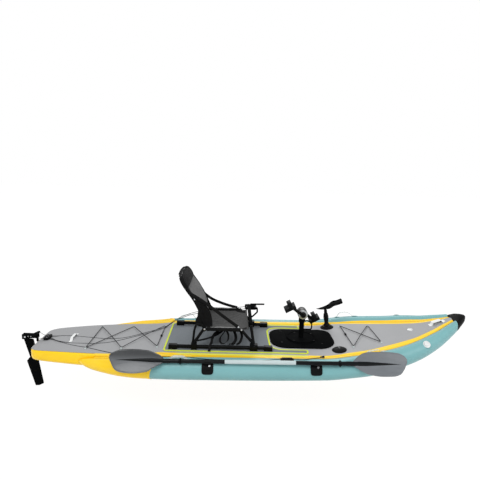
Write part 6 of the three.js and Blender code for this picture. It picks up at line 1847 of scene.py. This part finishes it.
class KAYAK_OT_paddle(bpy.types.Operator):
    """Two-bladed paddle in its keepers beside the starboard tube"""
    bl_idname = "kayak.paddle"
    bl_label = "Paddle"

    def execute(self, context):
        middle = Vector((0.020, -0.50955, 0.16892))
        ahead = Vector((1, -0.6237 * 0.016, 0.7817 * 0.016)).normalized()
        self.keeper("rear", -0.373, middle + ahead * -0.393)
        self.keeper("front", 0.475, middle + ahead * 0.455)
        self.shaft(middle, ahead)
        # Each blade's last number is its share of painted shade above the spine; the rear blade is
        # also painted darker all over.
        self.blade("rear", Vector((-0.71491, -0.50221, 0.15973)), -ahead,
                   Vector((0, 0.7817, 0.6237)),
                   [0, 0.03, 0.17, 0.34, 0.59, 0.82, 0.94, 1.0],
                   [0.13, 0.33, 0.68, 0.93, 1.0, 0.94, 0.72, 0.48],
                   [0, 0.06, 0.20, 0.28, 0.54, 0.73, 0.85, 0.93, 1.0],
                   [0.13, 0.32, 0.72, 0.96, 1.12, 1.06, 0.84, 0.36, -0.18], 0.8)
        self.blade("front", Vector((0.75491, -0.51688, 0.17811)), ahead,
                   Vector((-0.006, 0.4912, 0.8711)),
                   [0, 0.10, 0.22, 0.31, 0.57, 0.83, 0.95, 1.0],
                   [0.13, 0.56, 0.88, 0.96, 1.0, 0.92, 0.70, 0.45],
                   [0, 0.07, 0.175, 0.28, 0.54, 0.72, 0.85, 0.935, 1.0],
                   [0.13, 0.34, 0.62, 0.84, 1.0, 0.98, 0.82, 0.40, -0.15], 0.12)
        return {"FINISHED"}

    def keeper(self, end, x, hold):
        """Rounded pad on the tube with a recess and a bolt, and the open hook for the shaft."""
        wide, low, high, rows = 0.0455, -2.0, 60.0, []
        for grow, lift in ((1.0, 0.0002), (1.0, 0.006), (0.955, 0.0088), (0.62, 0.0090),
                           (0.56, 0.0052), (0.06, 0.0050)):
            ring = []
            for i in range(56):
                a = 2 * math.pi * i / 56
                c, s = math.cos(a), math.sin(a)
                power = 4.5 if grow > 0.9 else 2.6
                square = (abs(c) ** power + abs(s) ** power) ** (-1 / power)
                share = 0.62 if grow < 0.9 else 1.0
                point, normal = lines.on_tube(x + wide * c * square * grow * (0.8 if grow < 0.9
                                                                              else 1), -1,
                                              (low + high) / 2
                                              + (high - low) / 2 * s * square * grow * share, lift)
                ring.append(point)
            rows.append(ring)
        verts, faces, uvs = loft(rows)
        piece(end + "_keeper_pad", verts, faces, "plastic", "hull", (end + "_paddle_keeper",),
              "black_plastic", 35.0, uvs)
        arc = [hold + Vector((0, math.cos(a), math.sin(a))) * 0.0192
               for a in (math.radians(-205 + 225 * i / 30) for i in range(31))]
        strap(end + "_keeper_hook", arc, (1, 0, 0), 0.046, 0.0046, "plastic", "hull",
              slot="black_plastic")
        base, _ = lines.on_tube(x, -1, 56.0, 0.003)
        reach = hold - Vector((hold.x, 0, 0)) + Vector((x, 0, 0)) + Vector((0, 0.006, -0.0185))
        strap(end + "_keeper_neck", [base, base.lerp(reach, 0.5), reach], (1, 0, 0), 0.040, 0.012,
              "plastic", "hull",
              slot="black_plastic")
        point, normal = lines.on_tube(x + 0.014, -1, 40.0, 0.0052)
        copies(end + "_keeper_bolt", bolt_shape(0.0085, 0.005, 14),
               [(point, normal, Vector((1, 0, 0)))], "steel", "hull")

    def shaft(self, middle, ahead):
        half = 0.6834
        at = lambda x: middle + ahead * (x - middle.x)
        line = [at(middle.x - half + 2 * half * i / 40) for i in range(41)]
        bar("paddle_tube", line, 0.0158, "sleeve", "paddle", 32, replaces=("paddle_shaft",),
            slot="paddle_shaft_tube", limit=60.0)
        bar("paddle_tube_middle", [at(-0.240), at(-0.05), at(0.13), at(0.310)], 0.0162, "shaft",
            "paddle", 32,
            slot="paddle_shaft_tube", limit=60.0)
        for name, x in (("rear", -0.585), ("front", 0.655)):
            ring = [(0.0162, -0.012), (0.018, -0.011), (0.019, -0.004), (0.026, -0.002),
                    (0.0265, 0.001), (0.024, 0.003),
                    (0.019, 0.005), (0.018, 0.011), (0.0162, 0.012)]
            turned(name + "_drip_ring", ring, at(x), ahead, "rubber", "paddle", 32,
                   slot="black_plastic")

    def blade(self, side, root, out, across, up_places, up_shares, low_places, low_shares, dark):
        face = across.cross(out).normalized()
        if face.z < 0:
            face = -face
        length, half = 0.428, 0.0935
        spoon = settings("paddle").spoon
        upper, lower = through_values(up_places, up_shares), through_values(low_places, low_shares)
        place = lambda share: -0.004 + length * share
        bow = lambda share: spoon * math.sin(math.pi * share) * 0.55
        rings = []
        for i in range(61):
            share = 1 - (1 - i / 60) ** 1.12
            high, low = half * upper(share), -half * lower(share)
            row, under = [], []
            for j in range(33):
                t = -math.cos(math.pi * j / 32)
                y = (high + low) / 2 + (high - low) / 2 * t
                rim = 0.0018 + 0.0016 * (1
                                         - t * t) + 0.0012 * math.exp(-((abs(t)
                                                                         - 0.955) / 0.03) ** 2)
                cup = -0.0050 * (y / half) ** 2 * math.sin(math.pi * min(share * 1.1, 1))
                base = root + out * place(share) + across * y + face * (bow(share) + cup)
                row.append(base + face * rim)
                under.append(base - face * rim)
            rings.append(row + list(reversed(under)))
        verts, faces, uvs = loft(rings)
        base = tuple(settings("paddle").blade)
        # Painted shade: a blade whose dark share is over one half gets half the blade colour all over,
        # and dark also sets the painted shade above its spine.
        skin = blade_plastic(side + "_blade_skin", shade(base, 0.5) if dark > 0.5 else base,
                             tuple(root), tuple(across), dark)
        piece(side + "_blade_shell", verts, faces, skin, "paddle", (side + "_paddle_blade",),
              "paddle_blade_plastic", 60.0, uvs)
        bar(side + "_blade_neck", [root + out * (-0.052 + 0.07 * i / 10) for i in range(11)],
            lambda s: 0.0178 - 0.0015 * s ** 2, "sleeve", "paddle", 28, slot="paddle_blade_plastic",
            limit=60.0)
        wide = through_values([0, 0.08, 0.20, 0.5, 0.8, 1.0],
                              [0.0155, 0.0185, 0.0200, 0.0150, 0.0070, 0.0008])
        rings = []
        for i in range(41):
            s = i / 40
            share = 0.01 + 0.89 * s
            middle = root + out * place(share) + face * (bow(share) + 0.0004)
            tall = 0.0155 * (1 - s) ** 0.8 + 0.0024
            rings.append([middle + across * (wide(s) * math.cos(a))
                          + face * (tall * math.sin(a) ** 3 if math.sin(a) > 0
                                    else tall * 0.7 * math.sin(a))
                          for a in (2 * math.pi * k / 28 for k in range(28))])
        verts, faces, uvs = loft(rings)
        piece(side + "_blade_spine", verts, faces, "sleeve", "paddle", slot="paddle_blade_plastic",
              limit=60.0, uvs=uvs)


# ---------------------------------------------------------------- panel and running

steps = (KAYAK_OT_stage, KAYAK_OT_cords, KAYAK_OT_board, KAYAK_OT_tubes, KAYAK_OT_strips,
         KAYAK_OT_deck,
         KAYAK_OT_bungees, KAYAK_OT_fittings, KAYAK_OT_seat, KAYAK_OT_steering, KAYAK_OT_rudder,
         KAYAK_OT_drive, KAYAK_OT_holders, KAYAK_OT_paddle)
groups = {"hull": KayakHullSettings, "seat": KayakSeatSettings, "gear": KayakGearSettings,
          "paddle": KayakPaddleSettings, "stage": KayakStageSettings}


class KAYAK_PT_panel(bpy.types.Panel):
    """Sizes and colours of the kayak, and the steps that build it"""
    bl_label = "Fishing Kayak"
    bl_idname = "KAYAK_PT_panel"
    bl_space_type = "VIEW_3D"
    bl_region_type = "UI"
    bl_category = "Kayak"

    def draw(self, context):
        for name, group in groups.items():
            box = self.layout.box()
            box.label(text=name.capitalize())
            for key in group.__annotations__:
                box.prop(getattr(context.scene, "kayak_" + name), key)
        for step in steps:
            self.layout.operator(step.bl_idname)


def register():
    for group in groups.values():
        bpy.utils.register_class(group)
    for name, group in groups.items():
        setattr(bpy.types.Scene, "kayak_" + name, bpy.props.PointerProperty(type=group))
    for step in steps:
        bpy.utils.register_class(step)
    bpy.utils.register_class(KAYAK_PT_panel)


def unregister():
    bpy.utils.unregister_class(KAYAK_PT_panel)
    for step in reversed(steps):
        bpy.utils.unregister_class(step)
    for name in groups:
        delattr(bpy.types.Scene, "kayak_" + name)
    for group in reversed(list(groups.values())):
        bpy.utils.unregister_class(group)


def main():
    register()
    for step in steps:
        area, call = step.bl_idname.split(".")
        getattr(getattr(bpy.ops, area), call)()


if __name__ == "__main__":
    main()
